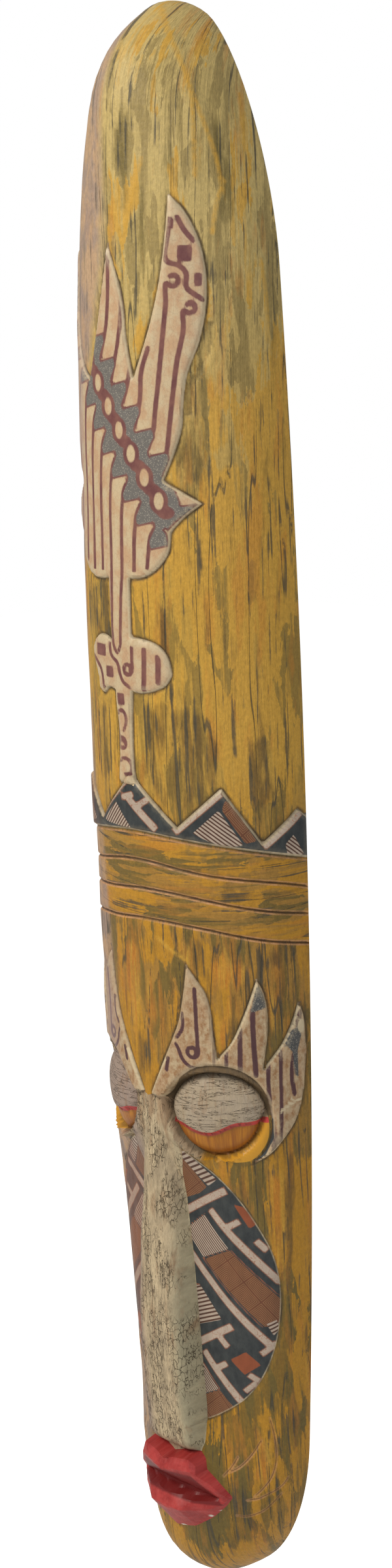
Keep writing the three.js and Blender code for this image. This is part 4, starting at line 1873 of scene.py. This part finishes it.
@dataclass(frozen=True)
class BatikPaint(Finish):
    """The wax-resist pattern in cream and maroon."""

    name: str = "batik_pattern"
    gloss: float = 0.45
    bump: float = 0.3
    rubbed_and_highlight: str = "D0BE9A"
    rub: float = 0.35
    cream: str = "CFBB96"
    peach: str = "C7A580"
    maroon: str = "6E4342"
    faded: str = "84594F"
    plum: str = "4C3134"
    grey: str = "706C66"
    dots: str = "AAA393"
    slate: str = "363B3E"
    # A pinkish mauve, a painted reflection on the far side.
    far: str = "AE9694"
    tan: str = "B59C78"
    brown: str = "946C44"

    def coats(self, on: Coats) -> Value:
        """Lays the cream, the maroon lines, the dotted fields and the rims, with painted highlight on the
        bevels, a painted shadow outside the edge, the slate in the gap by the eye, partly painted shade, and
        a painted reflection on the far side.
        """
        edge, _, pale = on.parts("lines")
        maroon, grey, slate = on.parts("batik")
        far_sheen = on.parts("marks")[2]
        brows = on.math("GREATER_THAN", on.drop, BROWS_FROM)
        cloud = on.noise((0.13, 0.10), 4.0, 4.0, 0.62)
        small = on.noise((0.34, 0.22), 9.0, 4.0, 0.66)
        on.colour = on.mix(cloud.span(0.42, 0.60), self.cream, self.peach)
        on.lay(brows * 0.45, self.tan)
        on.lay(small.span(0.40, 0.64, 0.0, 0.95) * (brows * 0.75 + 0.2), self.brown)
        on.lay(on.cracks(on.scaled(on.place, (0.42, 0.30, 0.0), 8.0), 0.06, 0.5) * 0.2, self.maroon)
        ragged = maroon + (small - 0.5) * 0.8
        stain = on.mix(cloud.span(0.35, 0.65), self.maroon, self.faded)
        stain = on.mix(brows * 0.85, stain, self.plum)
        on.lay(maroon.span(-1.4, -0.2, 0.0, 0.3), self.peach)
        on.lay(ragged.inside(0.35), stain)
        dot = on.cells(on.scaled(on.place, (1.05, 1.05, 0.0), 6.0))
        under = on.mix(brows * 0.6, self.grey, self.slate)
        on.lay(grey.inside(0.4), on.mix(dot.span(0.22, 0.36, 0.75, 0.0), under, self.dots))
        # Painted highlight on the rays' bevels, and the pale barbs.
        on.lay(pale.inside(0.35), self.rubbed_and_highlight)
        # A pale rim inside the pattern's edge: cream paint and painted highlight on the bevel.
        on.lay(on.line(edge, 0.2, 1.4, 0.7) * (0.9 - brows * 0.45), self.rubbed_and_highlight)
        # Painted shadow: a patchy dark line just outside the pattern's edge.
        on.lay(on.line(edge, -2.0, 0.1, 0.5) * cloud.span(0.42, 0.58, 0.1, 0.8), self.grime_and_shade)
        # Slate in the gap by the eye, partly painted shade.
        on.lay(slate.inside(), self.slate)
        # Painted reflection: pinkish mauve on the far side.
        on.lay(far_sheen * 0.4, self.far)
        on.tint(small.span(0.3, 0.7, 0.90, 1.06))
        return on.grain(31.0)[2]


@dataclass(frozen=True)
class WovenPaint(Finish):
    """The angular pattern in slate, cream and brown."""

    name: str = "woven_pattern"
    gloss: float = 0.42
    bump: float = 0.3
    shade_and_dirt: float = 0.4
    rub: float = 0.12
    rubbed_and_highlight: str = "B9A98A"
    slate: str = "2E3335"
    faded: str = "3F4342"
    cream: str = "B7A593"
    thread: str = "9A5C3E"
    stripe: str = "55392C"
    maze: str = "6E432C"
    maze_line: str = "8D6645"
    block: str = "8E4C2E"
    maze_cell: float = 17.0
    maze_turns: float = 8.0

    def nested(self, on: Coats) -> Value:
        """Lines of nested squares on the slant, as a wave between -1 and 1."""
        offsets = []
        for a, b in ((0.79, -0.61), (0.61, 0.79)):
            cell = on.math("FRACT", (abs(on.arc) * a + on.drop * b) / self.maze_cell)
            offsets.append(abs(cell - 0.5))
        return on.math("SINE", on.math("MAXIMUM", *offsets) * (4 * math.pi * self.maze_turns))

    def coats(self, on: Coats) -> Value:
        """Lays the slate, the panels, the bars and the rim, partly painted highlight, with a painted
        reflection on the far side.
        """
        edge = on.parts("lines")[0]
        cream, hatch, phase = on.parts("bars")
        maze, block, thread = on.parts("panels")
        far_sheen = on.parts("marks")[2]
        cloud = on.noise((0.2, 0.12), 4.0, 4.0, 0.6)
        on.colour = on.mix(cloud.span(0.3, 0.7), self.slate, self.faded)
        on.lay(maze.inside(), on.mix(self.nested(on).span(-0.1, 0.6), self.maze, self.maze_line))
        on.lay(block.inside(), self.block)
        wave = on.math("SINE", phase * (2 * math.pi))
        on.lay(hatch.inside(), on.mix(wave.span(-0.5, 0.2), self.stripe, self.cream))
        on.lay(thread.inside() * 0.8, self.thread)
        squiggle = abs(on.noise((0.17, 0.17), 17.0, 2.0) - 0.5)
        scribbled = on.mix(squiggle.span(0.004, 0.012, 0.7, 0.0), self.cream, self.thread)
        on.lay(cream.inside(0.3), scribbled)
        on.lay(on.line(cream, -0.5, 0.2, 0.4) * 0.5, self.thread)
        crown = on.math("LESS_THAN", on.drop, CHEEK_FROM)
        # A pale rim along the pattern's edge: cream paint and painted highlight on the bevel.
        rim = on.line(edge, -0.3, crown * 0.7 + 0.8, 0.6)
        on.lay(rim * (cloud.span(0.35, 0.6, 0.3, 0.8) + crown * 0.4), self.rubbed_and_highlight)
        # Painted reflection on the far side, in the thread colour.
        on.lay(far_sheen * 0.35, self.thread)
        on.tint(cloud.span(0.3, 0.7, 0.88, 1.08))
        return on.grain(57.0)[2]


@dataclass(frozen=True)
class CrackedPaint(Finish):
    """The thick pale paint of the nose and the upper lids, dried into cracks."""

    name: str = "cracked_paint"
    gloss: float = 0.55
    bump: float = 0.9
    rubbed_and_highlight: str = "BCAC8E"
    cream: str = "CBB793"
    grey: str = "AF9D7F"
    # A darker greyish tone, painted shade on the nose's side turned from the key light.
    green_shade: str = "9C997C"
    lid: str = "AD9D86"
    brown: str = "8E6A4A"
    crack: str = "453521"
    # A mauve, a painted reflection on the nose's far side.
    far: str = "A08C80"

    def coats(self, on: Coats) -> Value:
        """Lays the pale paint and opens its cracks, with painted shade on the nose's +X side and a painted
        reflection on its far side.
        """
        lid = on.parts("eyes")[1].span(0.0, 0.03, 1.0, 0.0)
        cloud = on.noise((0.12, 0.05), 6.0, 4.0, 0.62)
        mottle = on.noise((0.9, 0.3), 16.0, 4.0, 0.7)
        on.colour = on.mix(cloud.span(0.40, 0.60), self.cream, self.grey)
        # Painted shade: the nose's +X side is laid greyer and darker, more so lower down.
        on.lay(on.arc.span(13.0, 20.0) * on.drop.span(660.0, 760.0, 0.15, 0.6), self.green_shade)
        on.lay(lid, on.mix(cloud.span(0.45, 0.65, 0.0, 0.6), self.lid, self.grey))
        # Painted reflection: mauve on the nose's far side.
        on.lay(on.arc.span(-17.0, -8.0, 0.85, 0.0), self.far)
        root = on.drop.span(655.0, 690.0, 0.16, 0.0) * (1.0 - lid)
        rust = on.noise((0.3, 0.05), 15.0, 3.0) + root
        on.lay(rust.span(0.54, 0.72, 0.0, 0.6), self.brown)
        on.tint(mottle.span(0.3, 0.7, 0.84, 1.10))
        solid = on.node("TexCoord").outputs["Object"]
        cracks = on.cracks(on.scaled(solid, (330.0, 330.0, 190.0)), 0.05, 0.9)
        patchy = on.noise((0.13, 0.04), 19.0, 5.0, 0.66)
        split = abs(on.noise((0.50, 0.045), 27.0, 3.0, 0.6, 0.3) - 0.5)
        crack = split.span(0.006, 0.021, 0.85, 0.0) * patchy.span(0.38, 0.54)
        crack = crack * on.arc.span(15.0, 18.0, 1.0, 0.0) + cracks * patchy.span(0.46, 0.56)
        fold = abs(on.noise((0.060, 0.40), 41.0, 3.0, 0.62, 0.5) - 0.5)
        folds = fold.span(0.008, 0.024, 1.0, 0.0) * mottle.span(0.40, 0.56)
        crack = crack.span(0.1, 0.95) * (1.0 - lid) + folds * lid * 0.8
        on.lay(crack * 0.85, self.crack)
        return on.grain(83.0)[2] * 0.3 + mottle * 0.35 - crack * 0.8


@dataclass(frozen=True)
class LidPaint(Finish):
    """The orange of the lower lids, with the red line over it."""

    name: str = "lid_paint"
    gloss: float = 0.38
    bump: float = 0.3
    rub: float = 0.2
    orange: str = "BE7C22"
    # A darker orange for the streaks, also laid as painted shade in the crease round the ball.
    deep: str = "8E5220"
    # The yellow of the socket's lower wall, lighter as painted light where it faces up.
    bright: str = "CC942C"
    red: str = "BF4340"

    def coats(self, on: Coats) -> Value:
        """Lays the orange, its bright rim, yellow paint with painted light, the painted shade in the crease
        round the ball and the red line.
        """
        below, rim, _ = on.parts("eyes")
        streak, fine, height = on.grain(11.0)
        on.colour = on.mix(streak.span(0.35, 0.68), self.orange, self.deep)
        on.lay(fine.span(0.5, 0.75, 0.0, 0.3), self.bright)
        # Painted shade: a dark line in the crease where the ball meets the rim.
        on.lay(on.line(rim, -0.18, 0.02, 0.10) * 0.6, self.deep)
        # The rim in the brighter yellow: yellow paint, and painted light on the wall that faces up.
        on.lay(rim.span(0.01, 0.05), self.bright)
        on.lay(on.line(below, -3.0, 3.2, 0.5), self.red)
        return height


@dataclass(frozen=True)
class LipPaint(Finish):
    """The red of the mouth, worn along its edges and chipped to the white under it, with painted shade in the
    gap between the lips.
    """

    name: str = "lip_paint"
    gloss: float = 0.42
    bump: float = 0.4
    # The dark red for the lips' hollows, painted shade.
    grime_and_shade: str = "6A1E22"
    rubbed_and_highlight: str = "BE5853"
    rub: float = 0.6
    red: str = "B5403C"
    dark: str = "962C2A"
    # The dark red painted as the shade between the lips.
    gap: str = "6C1B1A"
    chip: str = "DCD2C4"
    level_to: float = 21.0
    edge: float = 905.0
    steep: float = 1.4
    gap_shade_from: float = 923.2
    gap_shade_to: float = 924.4

    def coats(self, on: Coats) -> Value:
        """Lays the red, and the painted shade in the gap between the lips."""
        cloud = on.noise((0.1, 0.12), 2.0, 4.0)
        small = on.noise((0.4, 0.3), 44.0, 4.0, 0.66)
        on.colour = on.mix(cloud.span(0.4, 0.64), self.red, self.dark)
        on.lay(small.span(0.5, 0.7, 0.0, 0.35), self.rubbed_and_highlight)
        # Painted shade: the band under the upper lip's edge and above the lower lip is laid dark.
        edge = on.math("MAXIMUM", abs(on.arc) - self.level_to, 0.0) * self.steep + self.edge
        under = (on.drop - edge).span(-0.6, 1.6)
        above = (on.drop - abs(on.arc) * 0.11).span(self.gap_shade_from, self.gap_shade_to, 0.9, 0.0)
        on.lay(under * above, self.gap)
        return on.grain(97.0)[2]

    def over(self, on: Coats) -> None:
        """Lays the chips over the wear."""
        on.lay(on.parts("tones")[2].inside(0.3), self.chip)


@dataclass(frozen=True)
class BareWood(Finish):
    """The unpainted back, gouged and darkened."""

    name: str = "bare_back"
    gloss: float = 0.72
    bump: float = 1.0
    rubbed_and_highlight: str = "8E6B45"
    rub: float = 0.2
    dark: str = "4F3722"

    def coats(self, on: Coats) -> Value:
        """Lays the wood's grain and the gouge marks."""
        solid = on.node("TexCoord").outputs["Object"]
        x, _, z = on.parts(on.scaled(solid, (1 / MM, 1 / MM, 1 / MM)))
        flat = on.flat(x, z)
        streak, fine, height = on.grain(7.0, flat)
        on.colour = on.mix(streak.span(0.35, 0.66), self.dark, self.rubbed_and_highlight)
        on.lay(fine.span(0.3, 0.7, 0.5, 0.0), self.dark)
        gouge = on.noise((0.16, 0.05), 3.0, 3.0, 0.6, 0.3, at=flat)
        on.lay(gouge.span(0.5, 0.7, 0.0, 0.5), self.grime_and_shade)
        return height + gouge * 1.2


@dataclass
class Mask:
    """The whole mask: the log, what is carved in it and its paint."""

    body: HalfLog = HalfLog()
    ornament: Ornament = Ornament()
    crown: Crown = Crown()
    rays: BrowRays = BrowRays()
    eye: Eye = Eye()
    cheek: Cheek = Cheek()
    nose: Nose = Nose()
    mouth: Mouth = Mouth()
    cuts: tuple[Cuts, ...] = (forehead_lines(), chin_cuts())
    ridges: Cuts = worn_ridges()
    tones: PaintTones = PaintTones()
    hand_lump: float = 0.55
    hand_scrape: float = 0.16
    nose_lump: float = 0.4
    calm: float = 0.7
    smooth_below: float = 42.0
    lip_edge: float = 16.0
    end_ease: float = 25.0
    sheet: Point3 = (244.0, 162.0, 4.0)
    stem_from: float = 326.5

    def __post_init__(self) -> None:
        """Lays out the grid and snaps it to the outlines."""
        self.front = RoundFront(self.body)
        self.grid = FrontGrid(self.front)
        self.back = BackGrid(self.body)
        self.outlines = [
            self.mouth.outline(),
            self.nose.outline(),
            *self.eye.upper_lid().both(),
            *self.eye.lower_lid().both(),
            self.ornament.outline(),
            *self.rays.outline().both(),
            *self.cheek.outline().both(),
            self.crown.outline(),
        ]
        self.polygons = [outline.polygon() for outline in self.outlines]
        self.grid.snap(self.polygons[0])
        self.grid.snap(self.mouth.brim())
        for polygon in self.polygons[1:]:
            self.grid.snap(polygon)
        for cuts in self.cuts:
            for path in cuts.paths:
                self.grid.snap_cut(path)

    def lifted(self, places: Places) -> Array:
        """Works out the relief.

        Args:
            places: the points of the front.

        Returns:
            How far each is moved out of the plain surface.
        """
        radius = self.eye.radius(places)
        lift = np.where(radius < self.eye.rim, self.eye.lift(places), self.cheek.lift(places))
        on_ball = 1 - ease(radius, 1.0, self.eye.rim)
        for part, outlines, share in (
            (self.ornament, [self.ornament.outline()], 1.0),
            (self.crown, [self.crown.outline()], 1.0),
            (self.rays, self.rays.outline().both(), 1 - on_ball),
            (self.cheek, self.cheek.outline().both(), 1 - on_ball),
        ):
            lift += part.relief.lift(cover_of(outlines, places)) * share
        under = ease(self.ornament.undercut.cover(places), *self.ornament.undercut_edge)
        lift -= self.ornament.relief.height * under
        for cuts in (*self.cuts, self.ridges):
            lift += cuts.lift(places)
        calm = 1 - self.calm * on_ball
        lift += self.hand_lump * rolling(places, (17, 46), 3) * calm
        lift += self.hand_scrape * rolling(places, (3.4, 20), 4) * calm
        return lift * ease(np.minimum(places.drop, self.body.height - places.drop), 0, self.end_ease)

    def front_points(self) -> tuple[Array, Array]:
        """The front's points and how far each stands out of its surroundings.

        Returns:
            The points as rows by columns by x, y and z, and a value for each, positive on
            edges and negative in hollows.
        """
        places = self.grid.places
        lift = self.lifted(places)
        lift[:, [0, -1]] = 0.0
        points = self.front.point(places, lift)
        x, y = points[..., 0], points[..., 1]
        depth = self.body.depth(places.drop)
        nose = self.nose.front(x, places.drop, depth)
        nose = nose - self.nose_lump * rolling(places, (7, 24), 8) * (nose < -1)
        mouth = self.mouth.front(x, places.drop)
        up_wall = np.clip(places.inside(self.polygons[0]) / self.mouth.wall, 0, 1)
        up_wall[self.grid.on_outline[0]] = 0.0
        up_wall[self.grid.on_outline[1] & ~self.grid.on_outline[0]] = 1.0
        carved = np.minimum(y, nose)
        carved += (np.minimum(carved, mouth) - carved) * up_wall
        points[..., 1] = carved
        height = lift + (y - carved)
        standing = self.standing_out(height)
        sheltered = ease(self.eye.radius(places), self.eye.rim, self.eye.rim + 0.15)
        return points, np.where(standing > 0, standing * sheltered, standing)

    @staticmethod
    def standing_out(height: Array, passes: int = 4, gain: float = 1.1, most: float = 1.5) -> Array:
        """How far each point stands out of a blurred copy of the surface.

        Args:
            height: the height of the surface.
            passes: how many times it is blurred.
            gain: what the difference is multiplied by.
            most: the greatest value either way.

        Returns:
            A value for each point, positive on edges.
        """
        blurred = height.copy()
        for _ in range(passes):
            for axis in (0, 1):
                before, after = np.roll(blurred, 1, axis), np.roll(blurred, -1, axis)
                blurred = (before + 2 * blurred + after) / 4
        return np.clip((height - blurred) * gain, -most, most)

    def fields(self, standing: Array) -> dict[str, Array]:
        """The distances and tones that the paints read.

        Args:
            standing: how far each point of the front stands out.

        Returns:
            Three values for each point, by the name that the paints use.
        """
        places, ornament, crown = self.grid.places, self.ornament, self.crown
        rays, cheek = self.rays, self.cheek
        folded, drawn = places.folded(), cheek.drawn(places)
        low, on_cheek = places.drop > BROWS_FROM, places.drop > CHEEK_FROM
        patterned = [o for o in self.outlines if o.zone in (Zone.BATIK, Zone.WOVEN)]
        cut = np.min([cuts.distance(places) for cuts in self.cuts], axis=0)
        chain = cover_of(ornament.chain(), places)
        lines = cover_of(ornament.stripes() + ornament.fields(ornament.edge), places)
        lines = np.minimum(np.maximum(chain, lines), -cover_of(ornament.holes(), places))
        marks = cover_of(ornament.crossbar_marks(), places)
        lines = np.where(places.drop > self.stem_from, marks, lines)
        grey = np.minimum(cover_of(ornament.fields(0.0), places), -chain)
        mazes = np.where(on_cheek, cover_of(cheek.mazes, drawn), cover_of(crown.mazes, places))
        bars = np.where(on_cheek, cover_of(cheek.bars, drawn), cover_of(crown.strips, places))
        # The rays' pale strokes: painted highlight on their bevels, and pale barbs.
        pale = np.where(low, cover_of(rays.pale, folded), -REACH)
        found = {
            "place": (places.arc, places.drop, standing),
            "lines": (cover_of(patterned, places), cut, pale),
            "tones": (
                self.tones.field(self.tones.bright, places),
                self.tones.field(self.tones.dark, places),
                cover_of(self.mouth.chips, places),
            ),
            "batik": (
                np.where(low, cover_of(rays.lines(), folded), lines),
                np.where(low, cover_of(rays.dotted, folded), grey),
                cover_of(rays.slate, folded),
            ),
            "bars": (bars, *self.striped(places, drawn, on_cheek)),
            "panels": (mazes, cover_of(cheek.blocks, drawn), cover_of(cheek.threads, drawn)),
            "eyes": (
                self.eye.below_line(places),
                self.eye.radius(places) - 1,
                self.tones.field(self.tones.cracked, places),
            ),
            "marks": (
                self.ridges.distance(places),
                self.tones.field(self.tones.flames, places),
                # The far side's painted reflection
                self.tones.far_sheen(places),
            ),
        }
        return {name: np.stack(three, -1) for name, three in found.items()}

    def striped(self, places: Places, drawn: Places, on_cheek: Array) -> tuple[Array, Array]:
        """The striped panels.

        Args:
            places: the points of the front.
            drawn: where the cheek's pattern has them.
            on_cheek: which of them are on a cheek.

        Returns:
            The distance inside the nearest panel, and the count of stripes across it.
        """
        hatch, phase = np.full(places.arc.shape, -REACH), np.zeros(places.arc.shape)
        for part, seen, here in ((self.cheek, drawn, on_cheek), (self.crown, places, ~on_cheek)):
            for panel in part.panels:
                cover = np.where(here, panel.patch.cover(seen), -REACH)
                count = (seen.arc * panel.across[0] + seen.drop * panel.across[1]) / panel.spacing
                phase = np.where(cover > hatch, count, phase)
                hatch = np.maximum(hatch, cover)
        return hatch, phase

    def zone_of(self, arc: Array, drop: Array) -> Array:
        """Tells what is painted at each place.

        Args:
            arc: the arcs of the places.
            drop: their drops.

        Returns:
            The number of the zone of each.
        """
        middle = Places(arc, drop)
        zones = np.full(arc.shape, Zone.BASE)
        for outline, polygon in reversed(list(zip(self.outlines, self.polygons))):
            zones = np.where(middle.within(polygon), outline.zone, zones)
        return zones

    def build(self) -> bpy.types.Object:
        """Makes the mask's mesh, with its zones, its fields and the map that it is baked on."""
        points, standing = self.front_points()
        rows, columns = points.shape[:2]
        behind = self.back.points(self.grid.places.drop[:, 0])
        inner = behind.shape[1]
        front_index = np.arange(rows * columns).reshape(rows, columns)
        back_index = rows * columns + np.arange(rows * inner).reshape(rows, inner)
        ring = np.hstack([front_index[:, :1], back_index, front_index[:, -1:]])
        poles = rows * columns + rows * inner
        forward = -self.body.back_ease[1]
        ends = np.array([[0, forward, self.body.up(drop)] for drop in (0.0, self.body.height)])
        coords = np.vstack([points.reshape(-1, 3), behind.reshape(-1, 3), ends]) * MM

        faces, zones = self.front_faces(front_index)
        rear = np.stack([ring[:-1, :-1], ring[:-1, 1:], ring[1:, 1:], ring[1:, :-1]], -1)
        rear = rear.reshape(-1, 4)
        faces += rear.tolist()
        zones += [Zone.BACK] * len(rear)
        for row, pole, turn in ((0, poles, 1), (rows - 1, poles + 1, -1)):
            edges = ((front_index[row], turn, Zone.BASE), (ring[row], -turn, Zone.BACK))
            for strip, way, zone in edges:
                edge = strip.tolist()[::way]
                faces += [[pole, a, b] for a, b in zip(edge[:-1], edge[1:])][::way]
                zones += [zone] * (len(edge) - 1)

        mesh = bpy.data.meshes.new("carved_mask")
        mesh.from_pydata(coords.tolist(), [], faces)
        mesh.polygons.foreach_set("material_index", np.array(zones, np.int32))
        mesh.polygons.foreach_set("use_smooth", np.ones(len(faces), bool))
        self.store(mesh, self.fields(standing), rows * columns)
        self.unfold(mesh, rows, columns)
        mesh.update()
        mesh.set_sharp_from_angle(angle=math.radians(self.smooth_below))
        self.sharpen_lips(mesh)
        return placed("carved_mask", mesh)

    def front_faces(self, index: Array) -> tuple[list[list[int]], list[int]]:
        """The front's faces, split where an outline runs across a cell.

        Args:
            index: the number of each point of the front.

        Returns:
            The faces and the zone of each.
        """
        corners = np.stack([index[:-1, :-1], index[1:, :-1], index[1:, 1:], index[:-1, 1:]], -1)
        way = self.grid.split()
        quads, first, other = corners[way == 0], corners[way == 1], corners[way == 2]
        halves = (first[:, [0, 1, 2]], first[:, [0, 2, 3]], other[:, [0, 1, 3]], other[:, [3, 1, 2]])
        tris = np.vstack(halves)
        arc, drop = self.grid.places.arc.ravel(), self.grid.places.drop.ravel()
        zones = [self.zone_of(arc[f].mean(-1), drop[f].mean(-1)) for f in (quads, tris)]
        return quads.tolist() + tris.tolist(), np.concatenate(zones).tolist()

    @staticmethod
    def store(mesh: bpy.types.Mesh, fields: dict[str, Array], count: int) -> None:
        """Writes the fields to the mesh's points.

        Args:
            mesh: the mask's mesh.
            fields: three values for each point of the front, by name.
            count: how many points the front has; the others get the values of far away.
        """
        for name, values in fields.items():
            whole = np.full((len(mesh.vertices), 3), -REACH, np.float32)
            whole[:count] = values.reshape(-1, 3)
            attribute = mesh.attributes.new(name, "FLOAT_VECTOR", "POINT")
            attribute.data.foreach_set("vector", whole.ravel())

    def unfold(self, mesh: bpy.types.Mesh, rows: int, columns: int) -> None:
        """Lays the front and the back out flat, each cut in two at half height.

        Args:
            mesh: the mask's mesh.
            rows: how many rows of points its front has.
            columns: how many points there are in a row.
        """
        coords = read(mesh.vertices, "co", np.float32) / MM
        arc = np.zeros(len(mesh.vertices))
        arc[: rows * columns] = self.grid.places.arc.ravel()
        drop = self.body.hanger_drop - coords[:, 2]
        loops, starts = read(mesh.loops, "vertex_index"), read(mesh.polygons, "loop_start")
        totals, zones = read(mesh.polygons, "loop_total"), read(mesh.polygons, "material_index")
        owner = np.repeat(np.arange(len(starts)), totals)
        middle = np.add.reduceat(drop[loops], starts) / totals
        low = (middle > self.body.height / 2)[owner]
        rear = (zones == Zone.BACK)[owner]
        front_width, back_width, gap = self.sheet
        across = np.where(rear, coords[loops, 0] + back_width / 2, arc[loops] + front_width / 2)
        across += np.where(rear, 2 * (front_width + gap), 0)
        across += np.where(low, np.where(rear, back_width, front_width) + gap, 0)
        total = 2 * (front_width + back_width) + 4 * gap
        down = drop[loops] - np.where(low, self.body.height / 2, 0)
        u = (across + gap / 2) / total
        v = 1 - (down + gap) / (self.body.height / 2 + 2 * gap)
        layer = mesh.uv_layers.new(name="OFBake")
        layer.data.foreach_set("uv", np.stack([u, v], -1).astype(np.float32).ravel())

    def sharpen_lips(self, mesh: bpy.types.Mesh) -> None:
        """Keeps the edges between the lips' facets crisp."""
        owner = np.repeat(np.arange(len(mesh.polygons)), read(mesh.polygons, "loop_total"))
        edges, zones = read(mesh.loops, "edge_index"), read(mesh.polygons, "material_index")
        normals = read(mesh.polygons, "normal", np.float32)
        order = np.argsort(edges, kind="stable")
        owner, edges = owner[order], edges[order]
        paired = edges[:-1] == edges[1:]
        one, two, shared = owner[:-1][paired], owner[1:][paired], edges[:-1][paired]
        bend = np.degrees(np.arccos(np.clip((normals[one] * normals[two]).sum(-1), -1, 1)))
        on_lips = (zones[one] == Zone.LIP) & (zones[two] == Zone.LIP)
        crisp = on_lips & (bend > self.lip_edge)
        sharp = mesh.attributes.get("sharp_edge")
        sharp = sharp or mesh.attributes.new("sharp_edge", "BOOLEAN", "EDGE")
        values = np.zeros(len(mesh.edges), bool)
        sharp.data.foreach_get("value", values)
        values[shared[crisp]] = True
        sharp.data.foreach_set("value", values)

    def dress(self, piece: bpy.types.Object, effects: Effects) -> None:
        """Gives each zone its paint."""
        finishes = {
            Zone.BASE: GroundPaint(),
            Zone.BATIK: BatikPaint(),
            Zone.WOVEN: WovenPaint(),
            Zone.CRACKED: CrackedPaint(),
            Zone.LID: LidPaint(),
            Zone.LIP: LipPaint(),
            Zone.BACK: BareWood(),
        }
        for zone in Zone:
            piece.data.materials.append(finishes[zone].material(effects))


@dataclass(frozen=True)
class Studio:
    """The camera, the light and the pale floor."""

    azimuth: float = 44.299
    elevation: float = 11.566
    roll: float = -2.159
    place: Point3 = (0.9141, -0.9515, -0.1358)
    lens: float = 49.28
    sensor: float = 36.0
    clip: Point = (0.05, 50.0)
    aim: Point3 = (0.0, 0.0, -0.44)
    white: float = 1.0
    ambient: float = 0.36
    floor_below: float = 0.30
    floor_size: float = 12.0
    floor_glow: float = 0.8
    floor_rough: float = 0.9
    floor_paint: str = "F4F3F1"

    def camera(self) -> None:
        """Sets the camera at the photograph's viewing angle."""
        a, e, r = (math.radians(v) for v in (self.azimuth, self.elevation, self.roll))
        turn = Matrix.Rotation(a, 4, "Z") @ Matrix.Rotation(math.pi / 2 - e, 4, "X")
        turn = turn @ Matrix.Rotation(r, 4, "Z")
        data = bpy.data.cameras.new("camera")
        data.lens = self.lens
        data.sensor_width = self.sensor
        data.sensor_fit = "AUTO"
        data.clip_start, data.clip_end = self.clip
        camera = placed("camera", data)
        camera.matrix_world = Matrix.Translation(self.place) @ turn
        bpy.context.scene.camera = camera

    def lamp(self, name: str, at: Point3, size: float, power: float, tint: str) -> None:
        """Adds a soft square light that faces the mask.

        Args:
            name: its name.
            at: its place in metres.
            size: its side in metres.
            power: its power in watts.
            tint: its colour code.
        """
        data = bpy.data.lights.new(name, "AREA")
        data.size = size
        data.energy = power
        data.color = paint(tint)[:3]
        lamp = placed(name, data)
        lamp.location = at
        way = Vector(self.aim) - Vector(at)
        lamp.rotation_euler = way.to_track_quat("-Z", "Y").to_euler()

    def floor(self) -> None:
        """Lays the pale floor well under the mask."""
        half = self.floor_size / 2
        level = CAD_BOX[0][2] - self.floor_below
        corners = [(-half, -half, level), (half, -half, level), (half, half, level), (-half, half, level)]
        mesh = bpy.data.meshes.new("floor")
        mesh.from_pydata(corners, [], [(0, 1, 2, 3)])
        material = bpy.data.materials.new("pale_floor")
        material.use_nodes = True
        shader = material.node_tree.nodes["Principled BSDF"]
        shader.inputs["Base Color"].default_value = paint(self.floor_paint)
        shader.inputs["Roughness"].default_value = self.floor_rough
        shader.inputs["Emission Color"].default_value = paint(self.floor_paint)
        graph = Graph(material.node_tree)
        seen = Value(graph, graph.node("LightPath").outputs["Is Camera Ray"])
        graph.feed(shader.inputs["Emission Strength"], seen * self.floor_glow)
        mesh.materials.append(material)
        floor = placed("floor", mesh)

    def light(self) -> None:
        """Sets the pale surroundings and the lamps."""
        world = bpy.data.worlds.new("studio")
        world.use_nodes = True
        graph = Graph(world.node_tree)
        backdrop = world.node_tree.nodes["Background"]
        backdrop.inputs["Color"].default_value = (1.0, 1.0, 1.0, 1.0)
        seen = Value(graph, graph.node("LightPath").outputs["Is Camera Ray"])
        graph.feed(backdrop.inputs["Strength"], seen.span(0.0, 1.0, self.ambient, self.white))
        scene = bpy.context.scene
        scene.world = world
        scene.view_settings.view_transform = "Standard"
        self.lamp("key", (-0.5, -2.0, 1.45), 1.0, 53.0, "FFF8EE")
        self.lamp("fill", (2.2, -1.4, 0.2), 1.6, 12.0, "F2F4FF")


def main() -> None:
    """Builds the mask and the studio round it."""
    logging.basicConfig(level=logging.INFO, format="%(name)s: %(message)s")
    studio = Studio()
    studio.camera()
    mask = Mask()
    piece = mask.build()
    mask.dress(piece, Effects())
    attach(piece, "root")
    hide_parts("mask")
    log.info("%s: %d points, %d faces", piece.name, len(piece.data.vertices), len(piece.data.polygons))
    studio.floor()
    studio.light()


if __name__ == "__main__":
    main()
